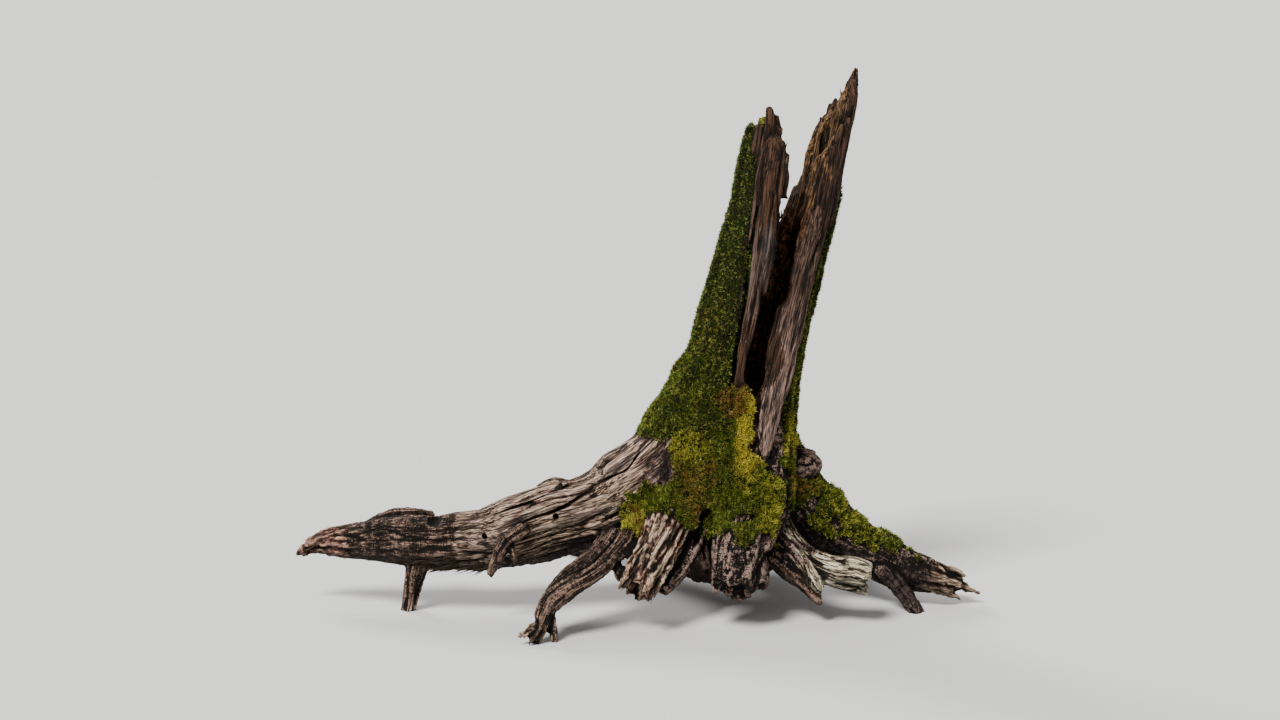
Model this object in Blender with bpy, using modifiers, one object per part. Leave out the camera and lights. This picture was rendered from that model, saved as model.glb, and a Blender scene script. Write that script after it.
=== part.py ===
"""A weathered tree stump: a hollow, split trunk on its spread roots, with broken ends.

Trunk and roots grew as one piece, so they are one solid. Metres, +Z up. The front of the
stump faces -Y and its long root lies towards -X. Every limb is placed from the trunk's foot,
and the finished stump is moved so that the origin lies on the ground, under the middle of
its footprint.
"""

import math
import random
from dataclasses import dataclass

import bmesh
import bpy
from mathutils import Vector, noise

NODE_NAME = "stump"

# Meshing
VOXEL = 0.006            # the size at which overlapping limbs are fused
RING_STEP = 0.012        # spacing of a limb's rings along it
SECTION_SIDES = 32       # points round a limb
HOLE_STEP = 0.030        # the same for the holes cut into the limbs
HOLE_SIDES = 8
SMOOTH_PASSES = 3        # rounds the crotches between limbs
TARGET_TRIANGLES = 9000

# Trunk
HOLLOW_FLOOR = 0.44      # height at which the rotted hollow begins
STAVE_COUNT = 44         # split strips of wood that make the hollow trunk's wall
STAVE_FOOT = 0.30
STAVE_OVERLAP = 1.55     # a strip's width over its share of the girth
WALL_AT_FOOT = 0.060
WALL_AT_CROWN = 0.034
CROWN_TOP = 1.30
STAVE_STEP = 0.030
SPLINTER_LENGTH = 0.075  # the tapered top of each strip
SPLINTER_SHARES = (0.5, 1.3)      # how much shorter or longer a strip's splinter may be
STAVE_SEED = 11
STAVE_TOP_WANDER = 0.022          # how far a strip may end below or above the crown's height
STAVE_PROUD = (-0.004, 0.005)     # how far a strip may stand in or out
STAVE_SLANT = 0.5                 # how far a splinter may lean, as a share of its width
STAVE_THICKNESS = (0.8, 1.25)     # shares of the wall
STAVE_WAVE = 0.006                # depth of the waves along a strip
STAVE_WAVES = 7                   # of those in a metre
TIP_WALL = 0.3                    # shares of a strip's thickness and width at its tip
TIP_WIDTH = 0.35
OUTER_ROUNDING = 0.006            # how far a strip's long edges are rounded off
INNER_ROUNDING = 0.004
CORE_TAPER = 0.9                  # the core's radius at the hollow's floor, over the trunk's

# The trunk's axis and radius: (x, y, z, radius)
TRUNK_AXIS = (
    (-0.010, 0.030, 0.075, 0.105),
    (-0.020, 0.030, 0.130, 0.145),
    (-0.030, 0.030, 0.280, 0.152),
    (-0.032, 0.030, 0.410, 0.143),
    (-0.022, 0.030, 0.540, 0.138),
    (0.014, 0.030, 0.700, 0.129),
    (0.059, 0.030, 0.870, 0.124),
    (0.093, 0.030, 1.000, 0.122),
    (0.127, 0.030, 1.190, 0.120),
    (0.146, 0.030, 1.340, 0.116),
)

# Height of the broken rim round the trunk, by angle in degrees: 0 faces the front, 90 +X
CROWN = (
    (-180, 0.88),
    (-172, 0.92),
    (-160, 0.99),
    (-135, 1.04),
    (-110, 1.12),
    (-90, 1.17),
    (-62, 1.185),
    (-45, 1.18),
    (-36, 1.20),
    (-24, 1.16),
    (-12, 1.11),
    (-5, 1.00),
    (0, 0.94),
    (6, 0.90),
    (10, 0.56),
    (20, 0.55),
    (26, 0.84),
    (31, 0.88),
    (36, 0.97),
    (46, 1.15),
    (66, 1.22),
    (84, 1.27),
    (94, 1.30),
    (108, 1.25),
    (132, 1.22),
    (150, 1.19),
    (156, 1.12),
    (162, 1.05),
    (168, 0.99),
    (173, 0.92),
    (180, 0.88),
)

# Where a strip's surface lies in or out of the girth: (angle, low z, high z, offset)
STAVE_OFFSETS = (
    (38, 0.95, 1.30, -0.016),
    (128, 0.50, 1.20, -0.012),
    (-150, 0.60, 1.00, -0.014),
)
OFFSET_SPREAD = 7.0      # degrees

# The relief of a limb: bulges and ridge changes in a metre, and how far apart limbs lie in the noise
BULGES = 9
RIDGE_CHANGES = 3.5
NOISE_APART = (7.3, 3.1)

# The end of a limb, as shares of its radius
MEAN_SPLINTER = 0.60
SHORT_SPLINTER = 0.25
SPLINTER_SPREAD = 1.6
SPLINTER_WIDTH = 1.6
RIM_SPREAD = 0.86
LIP_SPREAD = 0.62
LIP_HEIGHT = 0.6         # of the splinters
PIT_SPREAD = 0.34
PIT_DEPTH = 0.35
POINT_SPREAD = 0.35

# The raggedness of a cleft's sides: depth, and noise scales across, in and up
CLEFT_RAGGEDNESS = 0.003
CLEFT_NOISE = (40, 9, 30)
CLEFT_NOISE_APART = 5

GROUND_SIZE = 3.0        # of the block that cuts the feet flat


@dataclass(frozen=True)
class Limb:
    """A root, stub or strip of wood: a ridged section swept along a smooth path.

    stations are (x, y, z, radius), from the trunk outwards. swell and grain are the depth of
    the slow bulges and of the ridges along the limb, as shares of its radius. flat squeezes
    the section from front to back, or stretches it above 1. fray is the length of the
    splinters at a torn end.
    """

    name: str
    stations: tuple
    swell: float = 0.16
    grain: float = 0.10
    ridges: float = 2.4
    end: str = "torn"
    flat: float = 1.0
    fray: float = 1.0
    step: float = RING_STEP
    sides: int = SECTION_SIDES


LIMBS = (
    Limb(
        "long_root",
        (
            (0.011, 0.025, 0.795, 0.070),
            (-0.022, 0.020, 0.667, 0.090),
            (-0.067, 0.010, 0.537, 0.106),
            (-0.168, -0.005, 0.372, 0.116),
            (-0.301, -0.030, 0.274, 0.101),
            (-0.395, -0.045, 0.240, 0.090),
            (-0.460, -0.050, 0.224, 0.089),
            (-0.522, -0.050, 0.203, 0.088),
            (-0.607, -0.050, 0.178, 0.078),
            (-0.687, -0.050, 0.169, 0.070),
            (-0.759, -0.050, 0.168, 0.063),
            (-0.833, -0.040, 0.171, 0.060),
            (-0.899, -0.030, 0.167, 0.053),
            (-0.958, -0.010, 0.159, 0.044),
            (-1.013, 0.000, 0.154, 0.033),
            (-1.060, 0.010, 0.141, 0.022),
        ),
        swell=0.12,
        grain=0.08,
        ridges=3.2,
    ),
    Limb(
        "long_root_tip",
        ((-1.020, 0.005, 0.158, 0.022), (-1.060, 0.008, 0.142, 0.018), (-1.093, 0.012, 0.124, 0.009)),
        end="point",
    ),
    Limb(
        "long_root_lip",
        ((-1.000, -0.018, 0.176, 0.014), (-1.040, -0.016, 0.166, 0.012), (-1.070, -0.012, 0.150, 0.007)),
        end="point",
    ),
    Limb(
        "long_root_bark",
        (
            (-0.760, 0.010, 0.215, 0.014),
            (-0.800, 0.000, 0.224, 0.019),
            (-0.845, -0.005, 0.225, 0.021),
            (-0.880, -0.005, 0.213, 0.019),
            (-0.915, -0.004, 0.198, 0.012),
        ),
        swell=0.45,
        end="point",
    ),
    Limb(
        "long_root_hump",
        ((-0.425, -0.020, 0.270, 0.034), (-0.462, -0.025, 0.285, 0.034), (-0.500, -0.020, 0.262, 0.030)),
        end="point",
    ),
    Limb(
        "peg",
        (
            (-0.768, -0.055, 0.180, 0.032),
            (-0.790, -0.065, 0.125, 0.028),
            (-0.806, -0.062, 0.065, 0.021),
            (-0.820, -0.057, -0.006, 0.018),
        ),
        swell=0.25,
    ),
    Limb(
        "twig",
        (
            (-0.520, -0.110, 0.226, 0.014),
            (-0.543, -0.145, 0.216, 0.017),
            (-0.572, -0.160, 0.196, 0.018),
            (-0.594, -0.162, 0.160, 0.014),
            (-0.613, -0.155, 0.118, 0.010),
        ),
        swell=0.28,
    ),
    Limb(
        "twig_fork",
        ((-0.566, -0.158, 0.194, 0.012), (-0.556, -0.170, 0.170, 0.010), (-0.553, -0.172, 0.146, 0.007)),
        end="point",
    ),
    Limb(
        "pair_back",
        (
            (-0.250, -0.030, 0.270, 0.034),
            (-0.310, -0.085, 0.222, 0.027),
            (-0.352, -0.160, 0.172, 0.026),
            (-0.403, -0.205, 0.137, 0.026),
            (-0.446, -0.240, 0.107, 0.024),
            (-0.474, -0.268, 0.080, 0.019),
        ),
        swell=0.22,
    ),
    Limb(
        "pair_front",
        (
            (-0.195, -0.050, 0.290, 0.036),
            (-0.256, -0.120, 0.234, 0.027),
            (-0.306, -0.190, 0.184, 0.024),
            (-0.356, -0.240, 0.147, 0.023),
            (-0.414, -0.272, 0.121, 0.023),
            (-0.460, -0.292, 0.090, 0.024),
            (-0.482, -0.310, 0.046, 0.021),
            (-0.502, -0.330, 0.006, 0.016),
        ),
        swell=0.24,
    ),
    Limb(
        "pair_claw",
        ((-0.478, -0.308, 0.048, 0.016), (-0.506, -0.322, 0.036, 0.014), (-0.530, -0.334, 0.022, 0.009)),
        end="point",
    ),
    Limb(
        "pair_fork",
        ((-0.466, -0.296, 0.082, 0.016), (-0.459, -0.306, 0.042, 0.013), (-0.455, -0.313, -0.004, 0.010)),
        end="point",
    ),
    Limb(
        "pair_spur",
        ((-0.318, -0.205, 0.165, 0.018), (-0.306, -0.222, 0.138, 0.013), (-0.303, -0.228, 0.120, 0.008)),
        end="point",
    ),
    Limb(
        "torn_root",
        (
            (-0.070, -0.020, 0.560, 0.062),
            (-0.100, -0.040, 0.450, 0.082),
            (-0.140, -0.070, 0.340, 0.082),
            (-0.176, -0.120, 0.250, 0.066),
            (-0.212, -0.180, 0.186, 0.056),
            (-0.246, -0.224, 0.138, 0.049),
            (-0.262, -0.244, 0.112, 0.043),
        ),
        swell=0.26,
        grain=0.16,
        fray=0.5,
    ),
    Limb(
        "torn_strap",
        (
            (-0.110, -0.085, 0.260, 0.034),
            (-0.130, -0.135, 0.195, 0.028),
            (-0.165, -0.180, 0.140, 0.026),
            (-0.205, -0.220, 0.098, 0.020),
        ),
        swell=0.26,
    ),
    Limb(
        "torn_knuckle",
        ((-0.168, -0.110, 0.282, 0.024), (-0.176, -0.148, 0.272, 0.030), (-0.184, -0.172, 0.252, 0.020)),
        end="point",
    ),
    Limb(
        "stub",
        (
            (0.022, -0.015, 0.520, 0.045),
            (0.024, -0.042, 0.400, 0.074),
            (0.010, -0.080, 0.280, 0.084),
            (-0.018, -0.145, 0.190, 0.070),
            (-0.034, -0.194, 0.132, 0.061),
            (-0.040, -0.216, 0.104, 0.055),
        ),
        swell=0.30,
        grain=0.18,
        fray=0.4,
    ),
    Limb(
        "stub_toe",
        ((0.000, -0.120, 0.196, 0.038), (0.012, -0.172, 0.152, 0.036), (0.016, -0.208, 0.108, 0.029)),
        swell=0.30,
        fray=0.5,
    ),
    Limb(
        "front_flare",
        (
            (-0.026, -0.020, 0.520, 0.060),
            (-0.036, -0.044, 0.420, 0.082),
            (-0.044, -0.066, 0.330, 0.086),
            (-0.052, -0.084, 0.262, 0.058),
        ),
        swell=0.14,
        end="point",
    ),
    Limb(
        "hanging_root",
        ((-0.100, -0.080, 0.205, 0.022), (-0.108, -0.105, 0.160, 0.018), (-0.100, -0.115, 0.122, 0.012)),
        swell=0.35,
        end="point",
    ),
    Limb(
        "pale_stub",
        (
            (0.040, -0.045, 0.240, 0.046),
            (0.085, -0.085, 0.186, 0.036),
            (0.130, -0.118, 0.154, 0.034),
            (0.190, -0.150, 0.128, 0.036),
            (0.250, -0.170, 0.120, 0.039),
            (0.278, -0.176, 0.112, 0.037),
        ),
        swell=0.20,
        grain=0.14,
        fray=0.35,
    ),
    Limb(
        "fork_low",
        (
            (0.048, -0.070, 0.176, 0.034),
            (0.084, -0.108, 0.132, 0.028),
            (0.128, -0.140, 0.096, 0.023),
            (0.168, -0.168, 0.052, 0.013),
        ),
        swell=0.2,
        end="point",
    ),
    Limb(
        "fork_high",
        (
            (0.104, -0.112, 0.172, 0.024),
            (0.126, -0.146, 0.150, 0.020),
            (0.146, -0.172, 0.118, 0.018),
            (0.168, -0.188, 0.086, 0.011),
        ),
        swell=0.2,
        end="point",
    ),
    Limb(
        "right_root",
        (
            (0.020, 0.030, 0.500, 0.045),
            (0.052, 0.035, 0.400, 0.062),
            (0.102, 0.040, 0.292, 0.080),
            (0.176, 0.040, 0.208, 0.079),
            (0.266, 0.030, 0.142, 0.064),
            (0.352, 0.010, 0.102, 0.056),
            (0.439, 0.000, 0.074, 0.046),
            (0.500, 0.000, 0.052, 0.036),
        ),
        swell=0.18,
    ),
    Limb(
        "right_root_tip",
        ((0.480, 0.002, 0.062, 0.022), (0.530, -0.004, 0.044, 0.016), (0.577, -0.006, 0.026, 0.007)),
        end="point",
    ),
    Limb(
        "right_root_lip",
        ((0.470, -0.006, 0.086, 0.018), (0.506, -0.010, 0.080, 0.014), (0.534, -0.012, 0.068, 0.008)),
        end="point",
    ),
    Limb(
        "right_prop",
        (
            (0.318, -0.010, 0.110, 0.030),
            (0.350, -0.040, 0.078, 0.024),
            (0.382, -0.062, 0.040, 0.021),
            (0.412, -0.076, -0.004, 0.017),
        ),
        swell=0.2,
    ),
    Limb(
        "right_knob",
        ((0.100, 0.020, 0.310, 0.050), (0.142, 0.010, 0.340, 0.042), (0.166, 0.004, 0.346, 0.030)),
        swell=0.25,
        end="point",
    ),
    Limb(
        "back_left_root",
        (
            (-0.060, 0.070, 0.400, 0.070),
            (-0.130, 0.140, 0.280, 0.074),
            (-0.225, 0.235, 0.180, 0.060),
            (-0.330, 0.350, 0.092, 0.046),
            (-0.430, 0.450, 0.026, 0.032),
        ),
    ),
    Limb(
        "back_right_root",
        (
            (0.040, 0.080, 0.420, 0.064),
            (0.090, 0.150, 0.300, 0.070),
            (0.150, 0.240, 0.190, 0.056),
            (0.230, 0.340, 0.096, 0.042),
            (0.300, 0.430, 0.020, 0.028),
        ),
    ),
    Limb(
        "back_stub",
        (
            (-0.020, 0.090, 0.360, 0.080),
            (-0.024, 0.160, 0.230, 0.078),
            (-0.016, 0.235, 0.140, 0.064),
            (-0.004, 0.290, 0.082, 0.054),
        ),
        swell=0.22,
        grain=0.16,
    ),
    Limb(
        "tap_root",
        ((-0.015, 0.020, 0.200, 0.110), (-0.012, 0.030, 0.120, 0.080), (-0.006, 0.040, 0.082, 0.050)),
        swell=0.22,
    ),
    Limb(
        "left_plank",
        (
            (-0.028, -0.098, 0.540, 0.010),
            (-0.014, -0.100, 0.640, 0.024),
            (0.008, -0.094, 0.763, 0.030),
            (0.030, -0.090, 0.905, 0.033),
            (0.044, -0.088, 1.045, 0.036),
            (0.056, -0.080, 1.130, 0.026),
        ),
        swell=0.08,
        flat=0.55,
        end="point",
    ),
    Limb(
        "crown_nub",
        ((0.038, -0.070, 1.080, 0.020), (0.042, -0.070, 1.150, 0.015), (0.044, -0.070, 1.208, 0.012)),
        flat=0.7,
        end="point",
    ),
    Limb(
        "right_plank",
        (
            (0.030, -0.106, 0.360, 0.012),
            (0.043, -0.114, 0.456, 0.022),
            (0.061, -0.114, 0.552, 0.030),
            (0.090, -0.104, 0.670, 0.033),
            (0.117, -0.098, 0.788, 0.030),
            (0.144, -0.088, 0.893, 0.022),
            (0.162, -0.084, 0.985, 0.008),
        ),
        swell=0.08,
        flat=0.55,
        end="point",
    ),
)

def hole(name, stations, swell=0.16, flat=1.0):
    """A limb of nothing, to cut out of the wood."""
    return Limb(name, stations, swell=swell, end="point", flat=flat, step=HOLE_STEP, sides=HOLE_SIDES)


# The rotted heart of the trunk, inside its wall
HOLLOW = Limb(
    "hollow",
    (
        (-0.028, 0.030, 0.465, 0.046),
        (-0.026, 0.030, 0.510, 0.070),
        (-0.002, 0.030, 0.630, 0.080),
        (0.028, 0.030, 0.750, 0.080),
        (0.060, 0.030, 0.870, 0.080),
        (0.078, 0.030, 0.940, 0.080),
    ),
    end="point",
    sides=24,
)

# Holes and long checks in the roots
HOLES = (
    hole("root_hole", ((-0.458, -0.160, 0.254, 0.008), (-0.455, -0.090, 0.250, 0.006))),
    hole("small_hole", ((-0.628, -0.150, 0.203, 0.007), (-0.626, -0.095, 0.202, 0.005))),
    hole(
        "knot_hollow",
        ((-0.750, -0.140, 0.232, 0.021), (-0.750, -0.075, 0.234, 0.020), (-0.748, -0.048, 0.234, 0.012)),
        swell=0.35,
    ),
    hole(
        "long_check",
        (
            (-0.545, -0.134, 0.232, 0.0016),
            (-0.500, -0.135, 0.250, 0.0034),
            (-0.456, -0.130, 0.265, 0.0040),
            (-0.393, -0.119, 0.297, 0.0046),
            (-0.338, -0.108, 0.334, 0.0044),
            (-0.288, -0.106, 0.362, 0.0034),
            (-0.257, -0.094, 0.399, 0.0018),
        ),
        swell=0.4,
        flat=3.6,
    ),
    hole(
        "upper_check",
        (
            (-0.640, -0.100, 0.236, 0.0014),
            (-0.575, -0.102, 0.258, 0.0030),
            (-0.500, -0.096, 0.287, 0.0034),
            (-0.430, -0.078, 0.316, 0.0028),
            (-0.380, -0.066, 0.336, 0.0014),
        ),
        swell=0.4,
        flat=3.6,
    ),
)


@dataclass(frozen=True)
class Cleft:
    """A gap split and rotted into the front of the wood.

    edges are (left x, right x, z) from the bottom up, and the gap runs from the y of front to
    the y of back.
    """

    name: str
    edges: tuple
    front: float
    back: float


CLEFTS = (
    Cleft(
        "slot",
        (
            (0.007, 0.014, 0.440),
            (0.008, 0.020, 0.528),
            (0.000, 0.033, 0.556),
            (-0.012, 0.036, 0.582),
            (0.000, 0.045, 0.655),
            (0.030, 0.064, 0.738),
            (0.034, 0.090, 0.756),
            (0.056, 0.103, 0.840),
            (0.068, 0.121, 0.930),
            (0.076, 0.145, 1.000),
        ),
        front=-0.190,
        back=-0.010,
    ),
    Cleft(
        "flank_split",
        (
            (-0.050, -0.046, 0.520),
            (-0.055, -0.042, 0.545),
            (-0.050, -0.033, 0.582),
            (-0.042, -0.025, 0.658),
            (-0.021, -0.009, 0.751),
            (-0.012, 0.002, 0.840),
            (0.002, 0.010, 0.930),
            (0.013, 0.016, 0.985),
        ),
        front=-0.190,
        back=-0.066,
    ),
    Cleft(
        "foot_cleft",
        (
            (-0.132, -0.118, 0.190),
            (-0.122, -0.102, 0.235),
            (-0.104, -0.088, 0.275),
            (-0.082, -0.076, 0.320),
        ),
        front=-0.240,
        back=-0.105,
    ),
)


def blend(table, value):
    """The row of a table at that value of its first column, in straight lines between rows."""
    for low, high in zip(table, table[1:]):
        if value <= high[0]:
            share = max(0.0, (value - low[0]) / (high[0] - low[0]))
            return [a + (b - a) * share for a, b in zip(low, high)]
    return list(table[-1])


def smooth_path(stations, step):
    """4D points (x, y, z, radius), about step apart, on a smooth curve through the stations."""
    knots = [Vector(station) for station in stations]
    knots = [2 * knots[0] - knots[1], *knots, 2 * knots[-1] - knots[-2]]
    path = []
    for a, b, c, d in zip(knots, knots[1:], knots[2:], knots[3:]):
        count = max(2, round((c.xyz - b.xyz).length / step))
        for i in range(count):
            t = i / count
            bend = (c - a) * t + (2 * a - 5 * b + 4 * c - d) * t**2 + (3 * b - a - 3 * c + d) * t**3
            path.append(b + bend / 2)
    path.append(knots[-2])
    return path


def frames_along(path):
    """The direction and two sides at each point of a path, turning as little as they can."""
    frames = []
    side = None
    for i in range(len(path)):
        ahead = path[min(i + 1, len(path) - 1)].xyz - path[max(i - 1, 0)].xyz
        tangent = ahead.normalized()
        if side is None:
            side = tangent.cross(Vector((0, 1, 0))).normalized()
        side = (side - side.dot(tangent) * tangent).normalized()
        frames.append((tangent, side, tangent.cross(side)))
    return frames


def add_loft(bm, rings):
    """Adds a closed solid through rings of equally many points to the mesh."""
    layers = [[bm.verts.new(point) for point in ring] for ring in rings]
    sides = len(rings[0])
    faces = []
    for low, high in zip(layers, layers[1:]):
        for i in range(sides):
            faces.append(bm.faces.new((low[i - 1], low[i], high[i], high[i - 1])))
    faces.append(bm.faces.new(layers[0]))
    faces.append(bm.faces.new(layers[-1]))
    bmesh.ops.recalc_face_normals(bm, faces=faces)


def relief(limb, place, turn, along):
    """How far the surface stands out there, as a share of the limb's radius."""
    ring = Vector((math.cos(turn), math.sin(turn), 0))
    slow = noise.noise(ring + Vector((0, 0, along * BULGES)) + place)
    ridge = noise.noise(ring * limb.ridges + Vector((0, 0, along * RIDGE_CHANGES)) - place)
    return limb.swell * slow + limb.grain * (0.5 - 2 * abs(ridge))


def limb_rings(limb, number):
    """The rings of a limb, with a ragged, pitted end where it is torn off."""
    path = smooth_path(limb.stations, limb.step)
    frames = frames_along(path)
    place = Vector((number * NOISE_APART[0], number * NOISE_APART[1], 0))
    rings = []
    along = 0.0
    for i, (point, (_, side, other)) in enumerate(zip(path, frames)):
        if i:
            along += (point.xyz - path[i - 1].xyz).length
        ring = []
        for k in range(limb.sides):
            turn = 2 * math.pi * k / limb.sides
            reach = point.w * (1 + relief(limb, place, turn, along))
            across = math.cos(turn) * side + limb.flat * math.sin(turn) * other
            ring.append(point.xyz + reach * across)
        rings.append(ring)
    if limb.end == "torn":
        rings += torn_end(limb, rings[-1], path[-1], frames[-1][0], place)
    else:
        tip = path[-1].xyz + frames[-1][0] * path[-1].w
        rings.append([tip.lerp(corner, POINT_SPREAD) for corner in rings[-1]])
    return rings


def torn_end(limb, last_ring, last_point, tangent, place):
    """Rings of a broken end: a ragged rim of splinters round a pit of rotted wood."""
    centre = last_point.xyz
    radius = last_point.w
    rim, lip = [], []
    for corner in last_ring:
        spoke = corner - centre
        ragged = noise.noise(spoke * (SPLINTER_WIDTH / radius) + place)
        splinter = limb.fray * radius * max(SHORT_SPLINTER, MEAN_SPLINTER + SPLINTER_SPREAD * ragged)
        rim.append(centre + spoke * RIM_SPREAD + tangent * splinter)
        lip.append(centre + spoke * LIP_SPREAD + tangent * splinter * LIP_HEIGHT)
    floor = centre - tangent * radius * PIT_DEPTH
    pit = [floor + (corner - centre) * PIT_SPREAD for corner in last_ring]
    return [rim, lip, pit]


def stave_offset(angle, height):
    """How far the trunk's wall stands in or out of its girth at that angle and height."""
    total = 0.0
    for middle, low, high, offset in STAVE_OFFSETS:
        if low < height < high:
            total += offset * math.exp(-(((angle - middle) / OFFSET_SPREAD) ** 2))
    return total


def stave_rings(angle, top, rng):
    """The rings of one split strip of the trunk's wall, from inside the base to its splinter."""
    half_width = STAVE_OVERLAP * 180 / STAVE_COUNT
    thickness_share = rng.uniform(*STAVE_THICKNESS)
    proud = rng.uniform(*STAVE_PROUD)
    place = Vector((angle, 0, 0))
    splinter = min(SPLINTER_LENGTH * rng.uniform(*SPLINTER_SHARES), top - STAVE_FOOT - STAVE_STEP)
    slant = rng.uniform(-STAVE_SLANT, STAVE_SLANT)
    steps = round((top - STAVE_FOOT) / STAVE_STEP)
    rings = []
    for i in range(steps + 1):
        height = STAVE_FOOT + (top - STAVE_FOOT) * i / steps
        x, y, _, girth = axis_at(height)
        left = min(1.0, (top - height) / splinter)
        rise = (height - STAVE_FOOT) / (CROWN_TOP - STAVE_FOOT)
        wall = WALL_AT_FOOT + (WALL_AT_CROWN - WALL_AT_FOOT) * rise
        wall *= thickness_share * (TIP_WALL + (1 - TIP_WALL) * left)
        wave = STAVE_WAVE * noise.noise(place + Vector((0, 0, height * STAVE_WAVES)))
        outer = girth + proud + stave_offset(angle, height) + wave
        rounding = OUTER_ROUNDING * (2 - left)
        section = (
            (-1, outer - rounding),
            (-0.5, outer),
            (0.5, outer),
            (1, outer - rounding),
            (1, outer - wall + INNER_ROUNDING),
            (0.5, outer - wall),
            (-0.5, outer - wall),
            (-1, outer - wall + INNER_ROUNDING),
        )
        width = half_width * (TIP_WIDTH + (1 - TIP_WIDTH) * left)
        ring = []
        for share, reach in section:
            turn = math.radians(angle + share * width + slant * width * (1 - left))
            ring.append(Vector((x + reach * math.sin(turn), y - reach * math.cos(turn), height)))
        rings.append(ring)
    return rings


def cleft_rings(cleft, number):
    """The rings of the solid that cuts a cleft, with ragged sides."""
    path = smooth_path([(left, right, z, 0) for left, right, z in cleft.edges], RING_STEP)
    rings = []
    for left, right, height, _ in path:
        ring = []
        for edge, y in ((left, cleft.front), (right, cleft.front), (right, cleft.back), (left, cleft.back)):
            across, inward, up = CLEFT_NOISE
            wander = noise.noise(Vector((edge * across, number * CLEFT_NOISE_APART + y * inward, height * up)))
            ring.append(Vector((edge + wander * CLEFT_RAGGEDNESS, y, height)))
        rings.append(ring)
    return rings


def axis_at(height):
    """Centre and radius of the trunk at a height: (x, y, z, radius)."""
    z, x, y, radius = blend([(z, x, y, r) for x, y, z, r in TRUNK_AXIS], height)
    return x, y, z, radius


def add_staves(bm):
    """Adds the ring of split strips that walls the hollow trunk, each with its own broken top."""
    rng = random.Random(STAVE_SEED)
    for i in range(STAVE_COUNT):
        angle = -180 + 360 * (i + 0.5) / STAVE_COUNT
        top = blend(CROWN, angle)[1] + rng.uniform(-STAVE_TOP_WANDER, STAVE_TOP_WANDER)
        add_loft(bm, stave_rings(angle, top, rng))


def add_core(bm):
    """Adds the solid wood below the hollow, with an uneven, rotted floor."""
    rows = [row for row in TRUNK_AXIS if row[2] < HOLLOW_FLOOR]
    x, y, _, radius = axis_at(HOLLOW_FLOOR)
    rows.append((x, y, HOLLOW_FLOOR, radius * CORE_TAPER))
    core = Limb("core", tuple(rows), swell=0.10, grain=0.06, fray=0.2)
    add_loft(bm, limb_rings(core, len(LIMBS)))


def largest_body(mesh):
    """Drops every loose scrap and sealed pocket, so that one body is left."""
    bm = bmesh.new()
    bm.from_mesh(mesh)
    waiting = set(bm.verts)
    bodies = []
    while waiting:
        front = [waiting.pop()]
        body = list(front)
        while front:
            near = {edge.other_vert(vert) for vert in front for edge in vert.link_edges}
            front = list(near & waiting)
            waiting -= near
            body += front
        bodies.append(body)
    bodies.sort(key=len)
    bmesh.ops.delete(bm, geom=[vert for body in bodies[:-1] for vert in body], context="VERTS")
    bm.to_mesh(mesh)
    bm.free()


def applied(obj, name):
    """A new object that holds the object's evaluated mesh, and takes its place."""
    graph = bpy.context.evaluated_depsgraph_get()
    mesh = bpy.data.meshes.new_from_object(obj.evaluated_get(graph))
    bpy.data.objects.remove(obj)
    made = bpy.data.objects.new(name, mesh)
    parts.objects.link(made)
    return made


def fused_stump():
    """Every limb and strip grown into one body."""
    bm = bmesh.new()
    for number, limb in enumerate(LIMBS):
        add_loft(bm, limb_rings(limb, number))
    add_core(bm)
    add_staves(bm)
    mesh = bpy.data.meshes.new("limbs")
    bm.to_mesh(mesh)
    bm.free()
    limbs = bpy.data.objects.new("limbs", mesh)
    parts.objects.link(limbs)
    fuse = limbs.modifiers.new("fuse", "REMESH")
    fuse.mode = "VOXEL"
    fuse.voxel_size = VOXEL
    soften = limbs.modifiers.new("soften", "SMOOTH")
    soften.factor = 0.5
    soften.iterations = SMOOTH_PASSES
    stump = applied(limbs, NODE_NAME)
    largest_body(stump.data)
    return stump


def cut(stump, cutter):
    """Cuts an object out of the stump, and keeps it as a cutter.

    The manifold solver is the one that stays clean on a dense mesh grown by remeshing.
    """
    cutter.hide_render = True
    cutter.display_type = "WIRE"
    for collection in list(cutter.users_collection):
        collection.objects.unlink(cutter)
    cutters.objects.link(cutter)
    boolean = stump.modifiers.new(cutter.name, "BOOLEAN")
    boolean.operation = "DIFFERENCE"
    boolean.solver = "MANIFOLD"
    boolean.object = cutter


def lofted(name, rings):
    """An object that holds one lofted solid."""
    bm = bmesh.new()
    add_loft(bm, rings)
    mesh = bpy.data.meshes.new(name)
    bm.to_mesh(mesh)
    bm.free()
    return bpy.data.objects.new(name, mesh)


def cut_clefts(stump):
    """Opens the hollow, the slot into it, and the splits beside that."""
    cut(stump, lofted(HOLLOW.name, limb_rings(HOLLOW, 0)))
    for number, cleft in enumerate(CLEFTS):
        cut(stump, lofted(cleft.name, cleft_rings(cleft, number)))
    return applied(stump, NODE_NAME)


def cut_holes(stump):
    """Cuts the holes and checks of the roots, and the feet flat on the ground."""
    for number, gap in enumerate(HOLES):
        cut(stump, lofted(gap.name, limb_rings(gap, number)))
    bpy.ops.mesh.primitive_cube_add(size=GROUND_SIZE, location=(0, 0, -GROUND_SIZE / 2))
    ground = bpy.context.object
    ground.name = "ground"
    cut(stump, ground)


def centre_on_footprint(stump):
    """Moves the stump so that the origin lies on the ground, under the middle of its box."""
    bpy.context.view_layer.update()
    corners = [Vector(corner) for corner in stump.bound_box]
    middle = [(min(c[i] for c in corners) + max(c[i] for c in corners)) / 2 for i in (0, 1)]
    shift = Vector((-middle[0], -middle[1], 0))
    for vert in stump.data.vertices:
        vert.co += shift
    for cutter in cutters.objects:
        cutter.location += shift
    print("the trunk's foot is at", tuple(round(value, 4) for value in shift))


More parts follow.
